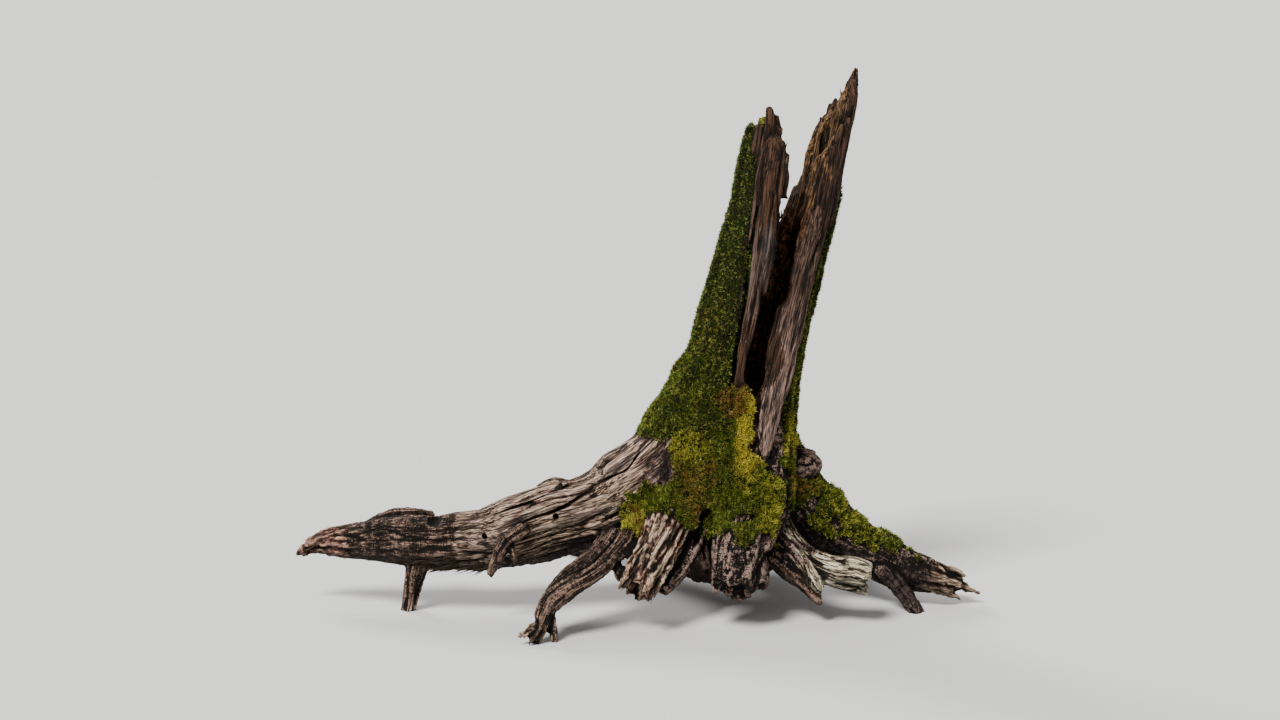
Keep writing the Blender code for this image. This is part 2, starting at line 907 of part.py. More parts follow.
def wood_material():
    """Weathered brown-grey wood."""
    material = bpy.data.materials.new("weathered_wood")
    material.use_nodes = True
    shader = material.node_tree.nodes["Principled BSDF"]
    shader.inputs["Base Color"].default_value = (0.25, 0.17, 0.12, 1)
    shader.inputs["Roughness"].default_value = 0.85
    shader.inputs["Metallic"].default_value = 0
    return material


for old in list(bpy.data.objects):
    bpy.data.objects.remove(old)
parts = bpy.data.collections.new("tree_stump")
cutters = bpy.data.collections.new("cutters")
bpy.context.scene.collection.children.link(parts)
bpy.context.scene.collection.children.link(cutters)

stump_object = cut_clefts(fused_stump())
stump_object.data.calc_loop_triangles()
thin = stump_object.modifiers.new("thin", "DECIMATE")
thin.ratio = TARGET_TRIANGLES / len(stump_object.data.loop_triangles)
stump_object = applied(stump_object, NODE_NAME)
cut_holes(stump_object)
centre_on_footprint(stump_object)
stump_object.data.materials.append(wood_material())
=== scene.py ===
"""The looks of the tree stump: weathered and torn wood, a rotted heart, bark and moss.

The wood is grown again from the limbs of the part's source, at a finer grain, and stands for
the CAD node. Every limb is placed from the trunk's foot, and FOOT is where that foot stands
in the frame. Metres, +Z up. The front of the stump faces -Y.
"""

import logging
import math
import random
from collections.abc import Callable
from dataclasses import dataclass
from enum import Enum

import bmesh
import bpy
import numpy as np
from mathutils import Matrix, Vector, noise

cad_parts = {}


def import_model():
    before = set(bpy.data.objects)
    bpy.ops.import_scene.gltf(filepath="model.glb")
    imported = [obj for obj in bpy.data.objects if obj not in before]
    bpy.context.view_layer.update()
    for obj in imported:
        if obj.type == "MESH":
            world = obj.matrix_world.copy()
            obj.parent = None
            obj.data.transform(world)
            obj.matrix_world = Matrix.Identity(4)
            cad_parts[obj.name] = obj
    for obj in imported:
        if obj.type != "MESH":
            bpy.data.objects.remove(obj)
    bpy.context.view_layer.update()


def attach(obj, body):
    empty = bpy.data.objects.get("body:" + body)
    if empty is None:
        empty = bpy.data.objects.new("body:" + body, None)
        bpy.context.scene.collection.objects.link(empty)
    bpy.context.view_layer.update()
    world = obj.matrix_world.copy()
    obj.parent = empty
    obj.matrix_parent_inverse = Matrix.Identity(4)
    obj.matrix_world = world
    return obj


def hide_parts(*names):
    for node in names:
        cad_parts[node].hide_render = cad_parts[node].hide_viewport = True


LOG = logging.getLogger("tree_stump")

NODE_NAME = "stump"
BODY_NAME = "root"
WOOD_SLOT = "weathered_wood"
FOOT = Vector((0.2610, -0.0704, 0.0))
NOISE_SEED = 8

# Meshing
VOXEL = 0.0044
RING_STEP = 0.012
SECTION_SIDES = 32
HOLE_STEP = 0.012
HOLE_SIDES = 12
SMOOTH_PASSES = 2
WOOD_TRIANGLES = 196000

# Trunk
HOLLOW_FLOOR = 0.44
STAVE_COUNT = 44
STAVE_FOOT = 0.30
STAVE_OVERLAP = 1.55
WALL_AT_FOOT = 0.060
WALL_AT_CROWN = 0.034
STAVE_STEP = 0.030
SPLINTER_LENGTH = 0.075
CROWN_TOP = 1.30
CLEFT_RAGGEDNESS = 0.003

# The trunk's axis and radius: (x, y, z, radius)
TRUNK_AXIS = (
    (-0.010, 0.030, 0.075, 0.105), (-0.020, 0.030, 0.130, 0.145), (-0.030, 0.030, 0.280, 0.152),
    (-0.032, 0.030, 0.410, 0.143), (-0.022, 0.030, 0.540, 0.138), (0.014, 0.030, 0.700, 0.129),
    (0.059, 0.030, 0.870, 0.124), (0.093, 0.030, 1.000, 0.122), (0.127, 0.030, 1.190, 0.120),
    (0.146, 0.030, 1.340, 0.116),
)

# Height of the broken rim round the trunk, by angle in degrees: 0 faces the front, 90 +X
CROWN = (
    (-180, 0.88), (-172, 0.92), (-160, 0.99), (-135, 1.04), (-110, 1.12), (-90, 1.17), (-62, 1.185),
    (-45, 1.18), (-36, 1.20), (-24, 1.16), (-12, 1.11), (-5, 1.00), (0, 0.94), (6, 0.90), (10, 0.56),
    (20, 0.55), (26, 0.84), (31, 0.88), (36, 0.97), (46, 1.15), (66, 1.22), (84, 1.27), (94, 1.30),
    (108, 1.25), (132, 1.22), (150, 1.19), (156, 1.12), (162, 1.05), (168, 0.99), (173, 0.92), (180, 0.88),
)

# Where a strip's surface lies in or out of the girth: (angle, low z, high z, offset)
STAVE_OFFSETS = (
    (38, 0.95, 1.30, -0.016), (128, 0.50, 1.20, -0.012), (-150, 0.60, 1.00, -0.014),
)
OFFSET_SPREAD = 7.0      # degrees


class Coat(Enum):
    """What covers a limb, or how bare wood has aged."""

    BROWN = "brown"
    BLEACHED = "bleached"
    SPLIT = "split"
    BARK = "bark"
    PALE = "pale"
    SHREDDED = "shredded"
    REDDISH = "reddish"
    KNOB = "knob"

@dataclass(frozen=True)
class Limb:
    """A root, stub or strip of wood: a ridged section swept along a smooth path.

    stations are (x, y, z, radius), from the trunk outwards. swell and grain are the depth of
    the slow bulges and of the ridges along the limb, as shares of its radius. flat squeezes
    the section from front to back, or stretches it above 1. fray is the length of the
    splinters at a torn end.
    """

    name: str
    stations: tuple
    swell: float = 0.16
    grain: float = 0.10
    ridges: float = 2.4
    end: str = "torn"
    flat: float = 1.0
    fray: float = 1.0
    step: float = RING_STEP
    sides: int = SECTION_SIDES


LIMBS = (
    Limb(
        "long_root",
        (
            (0.011, 0.025, 0.795, 0.070), (-0.022, 0.020, 0.667, 0.090), (-0.067, 0.010, 0.537, 0.106),
            (-0.168, -0.005, 0.372, 0.116), (-0.301, -0.030, 0.274, 0.101), (-0.395, -0.045, 0.240, 0.090),
            (-0.460, -0.050, 0.224, 0.089), (-0.522, -0.050, 0.203, 0.088), (-0.607, -0.050, 0.178, 0.078),
            (-0.687, -0.050, 0.169, 0.070), (-0.759, -0.050, 0.168, 0.063), (-0.833, -0.040, 0.171, 0.060),
            (-0.899, -0.030, 0.167, 0.053), (-0.958, -0.010, 0.159, 0.044), (-1.013, 0.000, 0.154, 0.033),
            (-1.060, 0.010, 0.141, 0.022),
        ),
        swell=0.12,
        grain=0.08,
        ridges=3.2,
    ),
    Limb(
        "long_root_tip",
        ((-1.020, 0.005, 0.158, 0.022), (-1.060, 0.008, 0.142, 0.018), (-1.093, 0.012, 0.124, 0.009)),
        end="point",
    ),
    Limb(
        "long_root_lip",
        ((-1.000, -0.018, 0.176, 0.014), (-1.040, -0.016, 0.166, 0.012), (-1.070, -0.012, 0.150, 0.007)),
        end="point",
    ),
    Limb(
        "long_root_bark",
        (
            (-0.760, 0.010, 0.215, 0.014), (-0.800, 0.000, 0.224, 0.019), (-0.845, -0.005, 0.225, 0.021),
            (-0.880, -0.005, 0.213, 0.019), (-0.915, -0.004, 0.198, 0.012),
        ),
        swell=0.45,
        end="point",
    ),
    Limb(
        "long_root_hump",
        ((-0.425, -0.020, 0.270, 0.034), (-0.462, -0.025, 0.285, 0.034), (-0.500, -0.020, 0.262, 0.030)),
        end="point",
    ),
    Limb(
        "peg",
        (
            (-0.768, -0.055, 0.180, 0.032), (-0.790, -0.065, 0.125, 0.028), (-0.806, -0.062, 0.065, 0.021),
            (-0.820, -0.057, -0.006, 0.018),
        ),
        swell=0.25,
    ),
    Limb(
        "twig",
        (
            (-0.520, -0.110, 0.226, 0.014), (-0.543, -0.145, 0.216, 0.017), (-0.572, -0.160, 0.196, 0.018),
            (-0.594, -0.162, 0.160, 0.014), (-0.613, -0.155, 0.118, 0.010),
        ),
        swell=0.28,
    ),
    Limb(
        "twig_fork",
        ((-0.566, -0.158, 0.194, 0.012), (-0.556, -0.170, 0.170, 0.010), (-0.553, -0.172, 0.146, 0.007)),
        end="point",
    ),
    Limb(
        "pair_back",
        (
            (-0.250, -0.030, 0.270, 0.034), (-0.310, -0.085, 0.222, 0.027), (-0.352, -0.160, 0.172, 0.026),
            (-0.403, -0.205, 0.137, 0.026), (-0.446, -0.240, 0.107, 0.024), (-0.474, -0.268, 0.080, 0.019),
        ),
        swell=0.22,
    ),
    Limb(
        "pair_front",
        (
            (-0.195, -0.050, 0.290, 0.036), (-0.256, -0.120, 0.234, 0.027), (-0.306, -0.190, 0.184, 0.024),
            (-0.356, -0.240, 0.147, 0.023), (-0.414, -0.272, 0.121, 0.023), (-0.460, -0.292, 0.090, 0.024),
            (-0.482, -0.310, 0.046, 0.021), (-0.502, -0.330, 0.006, 0.016),
        ),
        swell=0.24,
    ),
    Limb(
        "pair_claw",
        ((-0.478, -0.308, 0.048, 0.016), (-0.506, -0.322, 0.036, 0.014), (-0.530, -0.334, 0.022, 0.009)),
        end="point",
    ),
    Limb(
        "pair_fork",
        ((-0.466, -0.296, 0.082, 0.016), (-0.459, -0.306, 0.042, 0.013), (-0.455, -0.313, -0.004, 0.010)),
        end="point",
    ),
    Limb(
        "pair_spur",
        ((-0.318, -0.205, 0.165, 0.018), (-0.306, -0.222, 0.138, 0.013), (-0.303, -0.228, 0.120, 0.008)),
        end="point",
    ),
    Limb(
        "torn_root",
        (
            (-0.070, -0.020, 0.560, 0.062), (-0.100, -0.040, 0.450, 0.082), (-0.140, -0.070, 0.340, 0.082),
            (-0.176, -0.120, 0.250, 0.066), (-0.212, -0.180, 0.186, 0.056), (-0.246, -0.224, 0.138, 0.049),
            (-0.262, -0.244, 0.112, 0.043),
        ),
        swell=0.26,
        grain=0.16,
        fray=0.5,
    ),
    Limb(
        "torn_strap",
        (
            (-0.110, -0.085, 0.260, 0.034), (-0.130, -0.135, 0.195, 0.028), (-0.165, -0.180, 0.140, 0.026),
            (-0.205, -0.220, 0.098, 0.020),
        ),
        swell=0.26,
    ),
    Limb(
        "torn_knuckle",
        ((-0.168, -0.110, 0.282, 0.024), (-0.176, -0.148, 0.272, 0.030), (-0.184, -0.172, 0.252, 0.020)),
        end="point",
    ),
    Limb(
        "stub",
        (
            (0.022, -0.015, 0.520, 0.045), (0.024, -0.042, 0.400, 0.074), (0.010, -0.080, 0.280, 0.084),
            (-0.018, -0.145, 0.190, 0.070), (-0.034, -0.194, 0.132, 0.061), (-0.040, -0.216, 0.104, 0.055),
        ),
        swell=0.30,
        grain=0.18,
        fray=0.4,
    ),
    Limb(
        "stub_toe",
        ((0.000, -0.120, 0.196, 0.038), (0.012, -0.172, 0.152, 0.036), (0.016, -0.208, 0.108, 0.029)),
        swell=0.30,
        fray=0.5,
    ),
    Limb(
        "front_flare",
        (
            (-0.026, -0.020, 0.520, 0.060), (-0.036, -0.044, 0.420, 0.082), (-0.044, -0.066, 0.330, 0.086),
            (-0.052, -0.084, 0.262, 0.058),
        ),
        swell=0.14,
        end="point",
    ),
    Limb(
        "hanging_root",
        ((-0.100, -0.080, 0.205, 0.022), (-0.108, -0.105, 0.160, 0.018), (-0.100, -0.115, 0.122, 0.012)),
        swell=0.35,
        end="point",
    ),
    Limb(
        "pale_stub",
        (
            (0.040, -0.045, 0.240, 0.046), (0.085, -0.085, 0.186, 0.036), (0.130, -0.118, 0.154, 0.034),
            (0.190, -0.150, 0.128, 0.036), (0.250, -0.170, 0.120, 0.039), (0.278, -0.176, 0.112, 0.037),
        ),
        swell=0.20,
        grain=0.14,
        fray=0.35,
    ),
    Limb(
        "fork_low",
        (
            (0.048, -0.070, 0.176, 0.034), (0.084, -0.108, 0.132, 0.028), (0.128, -0.140, 0.096, 0.023),
            (0.168, -0.168, 0.052, 0.013),
        ),
        swell=0.2,
        end="point",
    ),
    Limb(
        "fork_high",
        (
            (0.104, -0.112, 0.172, 0.024), (0.126, -0.146, 0.150, 0.020), (0.146, -0.172, 0.118, 0.018),
            (0.168, -0.188, 0.086, 0.011),
        ),
        swell=0.2,
        end="point",
    ),
    Limb(
        "right_root",
        (
            (0.020, 0.030, 0.500, 0.045), (0.052, 0.035, 0.400, 0.062), (0.102, 0.040, 0.292, 0.080),
            (0.176, 0.040, 0.208, 0.079), (0.266, 0.030, 0.142, 0.064), (0.352, 0.010, 0.102, 0.056),
            (0.439, 0.000, 0.074, 0.046), (0.500, 0.000, 0.052, 0.036),
        ),
        swell=0.18,
    ),
    Limb(
        "right_root_tip",
        ((0.480, 0.002, 0.062, 0.022), (0.530, -0.004, 0.044, 0.016), (0.577, -0.006, 0.026, 0.007)),
        end="point",
    ),
    Limb(
        "right_root_lip",
        ((0.470, -0.006, 0.086, 0.018), (0.506, -0.010, 0.080, 0.014), (0.534, -0.012, 0.068, 0.008)),
        end="point",
    ),
    Limb(
        "right_prop",
        (
            (0.318, -0.010, 0.110, 0.030), (0.350, -0.040, 0.078, 0.024), (0.382, -0.062, 0.040, 0.021),
            (0.412, -0.076, -0.004, 0.017),
        ),
        swell=0.2,
    ),
    Limb(
        "right_knob",
        ((0.100, 0.020, 0.310, 0.050), (0.142, 0.010, 0.340, 0.042), (0.166, 0.004, 0.346, 0.030)),
        swell=0.25,
        end="point",
    ),
    Limb(
        "back_left_root",
        (
            (-0.060, 0.070, 0.400, 0.070), (-0.130, 0.140, 0.280, 0.074), (-0.225, 0.235, 0.180, 0.060),
            (-0.330, 0.350, 0.092, 0.046), (-0.430, 0.450, 0.026, 0.032),
        ),
    ),
    Limb(
        "back_right_root",
        (
            (0.040, 0.080, 0.420, 0.064), (0.090, 0.150, 0.300, 0.070), (0.150, 0.240, 0.190, 0.056),
            (0.230, 0.340, 0.096, 0.042), (0.300, 0.430, 0.020, 0.028),
        ),
    ),
    Limb(
        "back_stub",
        (
            (-0.020, 0.090, 0.360, 0.080), (-0.024, 0.160, 0.230, 0.078), (-0.016, 0.235, 0.140, 0.064),
            (-0.004, 0.290, 0.082, 0.054),
        ),
        swell=0.22,
        grain=0.16,
    ),
    Limb(
        "tap_root",
        ((-0.015, 0.020, 0.200, 0.110), (-0.012, 0.030, 0.120, 0.080), (-0.006, 0.040, 0.082, 0.050)),
        swell=0.22,
    ),
    Limb(
        "left_plank",
        (
            (-0.028, -0.098, 0.540, 0.010), (-0.014, -0.100, 0.640, 0.024), (0.008, -0.094, 0.763, 0.030),
            (0.030, -0.090, 0.905, 0.033), (0.044, -0.088, 1.045, 0.036), (0.056, -0.080, 1.130, 0.026),
        ),
        swell=0.08,
        flat=0.55,
        end="point",
    ),
    Limb(
        "crown_nub",
        ((0.038, -0.070, 1.080, 0.020), (0.042, -0.070, 1.150, 0.015), (0.044, -0.070, 1.208, 0.012)),
        flat=0.7,
        end="point",
    ),
    Limb(
        "right_plank",
        (
            (0.030, -0.106, 0.360, 0.012), (0.043, -0.114, 0.456, 0.022), (0.061, -0.114, 0.552, 0.030),
            (0.090, -0.104, 0.670, 0.033), (0.117, -0.098, 0.788, 0.030), (0.144, -0.088, 0.893, 0.022),
            (0.162, -0.084, 0.985, 0.008),
        ),
        swell=0.08,
        flat=0.55,
        end="point",
    ),
)


def hole(name: str, stations: tuple, swell: float = 0.16, flat: float = 1.0) -> Limb:
    """A limb of nothing, to cut out of the wood."""
    return Limb(name, stations, swell=swell, end="point", flat=flat, step=HOLE_STEP, sides=HOLE_SIDES)


# The rotted heart of the trunk, inside its wall
HOLLOW = Limb(
    "hollow",
    (
        (-0.028, 0.030, 0.465, 0.046), (-0.026, 0.030, 0.510, 0.070), (-0.002, 0.030, 0.630, 0.080),
        (0.028, 0.030, 0.750, 0.080), (0.060, 0.030, 0.870, 0.080), (0.078, 0.030, 0.940, 0.080),
    ),
    end="point",
    sides=24,
)

# Holes and long checks in the roots
HOLES = (
    hole("root_hole", ((-0.458, -0.160, 0.254, 0.008), (-0.455, -0.090, 0.250, 0.006))),
    hole("small_hole", ((-0.628, -0.150, 0.203, 0.007), (-0.626, -0.095, 0.202, 0.005))),
    hole(
        "knot_hollow",
        ((-0.750, -0.140, 0.232, 0.021), (-0.750, -0.075, 0.234, 0.020), (-0.748, -0.048, 0.234, 0.012)),
        swell=0.35,
    ),
    hole(
        "long_check",
        (
            (-0.545, -0.134, 0.232, 0.0016), (-0.500, -0.135, 0.250, 0.0034),
            (-0.456, -0.130, 0.265, 0.0040), (-0.393, -0.119, 0.297, 0.0046),
            (-0.338, -0.108, 0.334, 0.0044), (-0.288, -0.106, 0.362, 0.0034),
            (-0.257, -0.094, 0.399, 0.0018),
        ),
        swell=0.4,
        flat=3.6,
    ),
    hole(
        "upper_check",
        (
            (-0.640, -0.100, 0.236, 0.0014), (-0.575, -0.102, 0.258, 0.0030),
            (-0.500, -0.096, 0.287, 0.0034), (-0.430, -0.078, 0.316, 0.0028),
            (-0.380, -0.066, 0.336, 0.0014),
        ),
        swell=0.4,
        flat=3.6,
    ),
)


@dataclass(frozen=True)
class Cleft:
    """A gap split and rotted into the front of the wood.

    edges are (left x, right x, z) from the bottom up, and the gap runs from the y of front to
    the y of back.
    """

    name: str
    edges: tuple
    front: float
    back: float


CLEFTS = (
    Cleft(
        "slot",
        (
            (0.007, 0.014, 0.440), (0.008, 0.020, 0.528), (0.000, 0.033, 0.556), (-0.012, 0.036, 0.582),
            (0.000, 0.045, 0.655), (0.030, 0.064, 0.738), (0.034, 0.090, 0.756), (0.056, 0.103, 0.840),
            (0.068, 0.121, 0.930), (0.076, 0.145, 1.000),
        ),
        front=-0.190,
        back=-0.010,
    ),
    Cleft(
        "flank_split",
        (
            (-0.050, -0.046, 0.520), (-0.055, -0.042, 0.545), (-0.050, -0.033, 0.582),
            (-0.042, -0.025, 0.658), (-0.021, -0.009, 0.751), (-0.012, 0.002, 0.840), (0.002, 0.010, 0.930),
            (0.013, 0.016, 0.985),
        ),
        front=-0.190,
        back=-0.066,
    ),
    Cleft(
        "foot_cleft",
        (
            (-0.132, -0.118, 0.190), (-0.122, -0.102, 0.235), (-0.104, -0.088, 0.275),
            (-0.082, -0.076, 0.320),
        ),
        front=-0.240,
        back=-0.105,
    ),
)

# Which limbs each coat covers. Plain brown wood has none of them
COATS = {
    Coat.BLEACHED: ("long_root", "long_root_hump", "back_left_root"),
    Coat.SPLIT: ("left_plank", "right_plank"),
    Coat.BARK: (
        "long_root_bark", "pair_fork", "pair_spur", "torn_strap", "torn_knuckle", "stub", "stub_toe",
        "hanging_root", "right_root", "right_prop", "back_right_root", "back_stub", "tap_root",
    ),
    Coat.PALE: ("pale_stub", "fork_high"),
    Coat.SHREDDED: (
        "long_root_tip", "long_root_lip", "pair_claw", "torn_root", "right_root_tip", "right_root_lip",
    ),
    Coat.REDDISH: ("peg", "twig", "twig_fork", "pair_back", "pair_front", "fork_low"),
    Coat.KNOB: ("right_knob",),
}
# The coats that part along a seam where two limbs meet
SEAMED = (Coat.BARK, Coat.SHREDDED, Coat.REDDISH)
# Limbs that no moss grows on, and limbs whose ends broke long ago
MOSSLESS = ("left_plank", "right_plank", "right_knob", "torn_knuckle", "twig", "peg")
SMOOTH_ENDS = (
    "right_knob", "pale_stub", "stub", "stub_toe", "twig", "torn_strap", "back_stub", "peg",
    "right_prop", "pair_front", "pair_back", "back_left_root", "back_right_root",
)


@dataclass(frozen=True)
class Patch:
    """A soft ball of influence on the stump: where it lies, how far it reaches, how strong."""

    centre: tuple
    reach: tuple
    strength: float = 1.0


# Painted shade under the stump and between its roots, wood that hair roots hang from, and rotten spots at the
# crown
PAINTED_SHADE = (
    Patch((0.020, 0.030, 0.060), (0.230, 0.130, 0.110)),
    Patch((-0.160, -0.020, 0.150), (0.110, 0.070, 0.090)),
    Patch((0.180, -0.040, 0.120), (0.120, 0.050, 0.050)),
    Patch((0.380, -0.030, 0.045), (0.090, 0.080, 0.080)),
)
FRINGE = (
    Patch((-0.700, -0.080, 0.110), (0.110, 0.080, 0.050)),
)
ROTTEN = (
    Patch((0.165, -0.050, 1.115), (0.024, 0.080, 0.070), 0.8),
    Patch((0.105, -0.040, 1.140), (0.014, 0.060, 0.050), 0.7),
)
# Where a coat covers part of a limb
COAT_PATCHES = {
    Coat.BROWN: (
        Patch((-0.05, -0.02, 0.62), (0.16, 0.16, 0.17)),
        Patch((-0.10, -0.06, 0.36), (0.10, 0.12, 0.10)),
        Patch((0.05, -0.10, 1.12), (0.09, 0.10, 0.20)),
    ),
    Coat.BARK: (
        Patch((0.100, -0.100, 0.180), (0.050, 0.060, 0.050)),
        Patch((0.070, -0.120, 0.150), (0.050, 0.050, 0.040)),
        Patch((-0.300, -0.130, 0.190), (0.100, 0.060, 0.040), 0.7),
        Patch((0.130, -0.050, 0.370), (0.050, 0.070, 0.040)),
        Patch((0.130, -0.125, 0.165), (0.030, 0.060, 0.040)),
    ),
    Coat.REDDISH: (
        Patch((-0.850, -0.060, 0.160), (0.175, 0.150, 0.120)),
    ),
    Coat.KNOB: (
        Patch((-0.215, -0.100, 0.372), (0.034, 0.060, 0.060), 0.8),
        # Lighter pinkish bark on the centre stub's upper part, partly a painted highlight
        Patch((-0.020, -0.190, 0.185), (0.034, 0.050, 0.040), 0.62),
        Patch((0.040, -0.180, 0.180), (0.026, 0.050, 0.040), 0.60),
    ),
    Coat.SHREDDED: (
        Patch((0.490, -0.010, 0.070), (0.080, 0.070, 0.050)),
        Patch((-1.030, -0.010, 0.150), (0.085, 0.070, 0.060)),
    ),
    Coat.PALE: (
        Patch((0.168, -0.168, 0.052), (0.024, 0.030, 0.026), 0.7),
        Patch((-0.306, -0.215, 0.128), (0.012, 0.020, 0.016), 0.8),
        Patch((-0.820, -0.060, 0.012), (0.030, 0.030, 0.022), 0.5),
        Patch((-0.607, -0.158, 0.132), (0.016, 0.020, 0.022), 0.5),
        Patch((0.250, -0.060, 1.203), (0.014, 0.040, 0.012), 0.80),
    ),
}
# Moss on the lower trunk and the roots, from the trunk's foot
BASE_MOSS = (
    Patch((-0.075, -0.060, 0.500), (0.100, 0.130, 0.140)),
    Patch((-0.100, -0.100, 0.400), (0.115, 0.120, 0.120)),
    Patch((-0.030, -0.130, 0.360), (0.062, 0.090, 0.120)),
    Patch((-0.175, -0.020, 0.490), (0.070, 0.120, 0.060)),
    Patch((-0.170, -0.130, 0.295), (0.100, 0.080, 0.060)),
    Patch((-0.250, -0.120, 0.235), (0.060, 0.070, 0.050)),
    Patch((-0.262, -0.130, 0.200), (0.026, 0.060, 0.045)),
    Patch((0.048, -0.130, 0.270), (0.046, 0.070, 0.090)),
    Patch((0.000, -0.170, 0.225), (0.060, 0.060, 0.034)),
    Patch((-0.080, -0.150, 0.240), (0.050, 0.060, 0.050)),
    Patch((0.085, -0.050, 0.420), (0.034, 0.100, 0.060)),
    Patch((0.012, -0.060, 1.192), (0.034, 0.080, 0.012)),
)
ROOT_MOSS = (
    Patch((0.105, -0.010, 0.370), (0.060, 0.090, 0.055)),
    Patch((0.140, -0.030, 0.290), (0.070, 0.070, 0.055)),
    Patch((0.205, -0.030, 0.235), (0.085, 0.080, 0.060)),
    Patch((0.285, -0.020, 0.185), (0.080, 0.080, 0.050)),
    Patch((0.365, -0.010, 0.150), (0.055, 0.070, 0.032)),
    Patch((0.150, 0.210, 0.260), (0.070, 0.090, 0.060)),
    Patch((-0.160, 0.190, 0.300), (0.090, 0.090, 0.070)),
    Patch((-0.010, 0.200, 0.290), (0.110, 0.080, 0.100)),
)
# Places that the moss leaves bare
BARE = (
    Patch((-0.205, -0.100, 0.385), (0.045, 0.060, 0.055), 0.9),
    Patch((-0.020, -0.160, 0.255), (0.026, 0.050, 0.026), 0.8),
    Patch((0.120, -0.060, 0.245), (0.026, 0.050, 0.040), 0.8),
    Patch((0.048, -0.110, 0.420), (0.020, 0.060, 0.080), 1.2),
    Patch((0.235, -0.060, 0.170), (0.060, 0.040, 0.030), 0.7),
    Patch((0.150, -0.040, 0.275), (0.018, 0.050, 0.040), 0.7),
    Patch((0.205, -0.040, 0.235), (0.016, 0.040, 0.030), 0.6),
    Patch((-0.060, -0.150, 0.275), (0.014, 0.050, 0.024), 0.6),
    Patch((-0.110, -0.150, 0.245), (0.020, 0.050, 0.050), 1.0),
    Patch((0.130, -0.030, 0.372), (0.042, 0.060, 0.034), 1.0),
    Patch((0.300, -0.050, 0.175), (0.030, 0.050, 0.022), 0.7),
)
# Where the moss has turned yellow, and where it has dried to an orange brown
YELLOW = (
    Patch((0.005, -0.130, 0.490), (0.030, 0.090, 0.150), 1.2),
    Patch((0.012, -0.060, 1.192), (0.050, 0.090, 0.026), 0.85),
    Patch((0.060, -0.140, 0.270), (0.045, 0.090, 0.110), 0.35),
    Patch((-0.250, -0.120, 0.230), (0.070, 0.080, 0.060), 0.55),
    Patch((0.250, -0.020, 0.210), (0.160, 0.120, 0.080), 0.25),
    Patch((0.095, -0.050, 0.420), (0.040, 0.090, 0.050), 0.6),
    Patch((-0.130, -0.120, 0.430), (0.050, 0.090, 0.050), 0.4),
)
DRIED = (
    Patch((-0.035, -0.120, 0.540), (0.045, 0.080, 0.045)),
    Patch((-0.250, -0.120, 0.250), (0.050, 0.080, 0.026), 0.7),
    Patch((-0.130, -0.140, 0.330), (0.060, 0.090, 0.080), 0.7),
    Patch((0.120, -0.030, 0.320), (0.050, 0.080, 0.030), 0.7),
    Patch((-0.100, -0.060, 0.700), (0.060, 0.090, 0.090), 0.4),
)
# How far round the trunk the flank moss reaches, in degrees from the front: (height, front, back)
LEFT_FLANK = (
    (0.44, -4.0, -158.0), (0.575, -10.0, -160.0), (0.674, -17.0, -160.0), (0.774, -21.0, -156.0),
    (0.898, -32.0, -150.0), (1.023, -42.0, -146.0), (1.098, -56.0, -140.0), (1.148, -68.0, -128.0),
    (1.200, -84.0, -110.0),
)
RIGHT_FLANK = (
    (0.400, 46.0, 128.0), (0.475, 50.0, 132.0), (0.575, 55.0, 136.0), (0.674, 50.0, 134.0),
    (0.774, 56.0, 130.0), (0.873, 66.0, 126.0), (0.960, 80.0, 116.0), (1.030, 94.0, 100.0),
)
FLANK_SOFTNESS = 7.0     # degrees over which the moss thins
BACK_WANDER = 14.0       # degrees
FOOT_WANDER = 0.055
FLANK_SPLIT = 0.70       # height between the low bed and the high one
MOSS_EDGE = (0.25, 0.7)  # shares between which the shoots get denser
RIM_FOOT = 0.8           # the crown's splinters stand above this height
RIM_SHARE = 0.40
LIMBS_APART = 1.7        # how far the grain of each limb lies from the next one's
COAT_ROUNDS = 9          # how far the edge of a coat is evened out
SEAM_GAIN = 2.6
PATCH_CORE = 1.6         # a patch keeps its strength near its centre, and fades from there
PATCH_FADE = 1.2
WARPS = ((0.042, 15), (0.018, 50))       # reach and scale of what pushes patches about


def blend(table: tuple | list, value: float) -> list[float]:
    """The row of a table at that value of its first column, in straight lines between rows."""
    for low, high in zip(table, table[1:]):
        if value <= high[0]:
            share = max(0.0, (value - low[0]) / (high[0] - low[0]))
            return [a + (b - a) * share for a, b in zip(low, high)]
    return list(table[-1])


def smooth_path(stations: tuple | list, step: float) -> list[Vector]:
    """4D points (x, y, z, radius), about step apart, on a smooth curve through the stations."""
    knots = [Vector(station) for station in stations]
    knots = [2 * knots[0] - knots[1], *knots, 2 * knots[-1] - knots[-2]]
    path = []
    for a, b, c, d in zip(knots, knots[1:], knots[2:], knots[3:]):
        count = max(2, round((c.xyz - b.xyz).length / step))
        for i in range(count):
            t = i / count
            bend = (c - a) * t + (2 * a - 5 * b + 4 * c - d) * t**2 + (3 * b - a - 3 * c + d) * t**3
            path.append(b + bend / 2)
    path.append(knots[-2])
    return path


def frames_along(path: list[Vector]) -> list[tuple[Vector, Vector, Vector]]:
    """The direction and two sides at each point of a path, turning as little as they can."""
    frames = []
    side = None
    for i in range(len(path)):
        ahead = path[min(i + 1, len(path) - 1)].xyz - path[max(i - 1, 0)].xyz
        tangent = ahead.normalized()
        if side is None:
            side = tangent.cross(Vector((0, 1, 0))).normalized()
        side = (side - side.dot(tangent) * tangent).normalized()
        frames.append((tangent, side, tangent.cross(side)))
    return frames


def axis_at(height: float) -> tuple[float, float, float, float]:
    """Centre and radius of the trunk at a height: (x, y, z, radius)."""
    z, x, y, radius = blend([(z, x, y, r) for x, y, z, r in TRUNK_AXIS], height)
    return x, y, z, radius


def new_object(name: str, mesh: bpy.types.Mesh) -> bpy.types.Object:
    """An object at the origin that shows the mesh."""
    made = bpy.data.objects.new(name, mesh)
    bpy.context.scene.collection.objects.link(made)
    return made


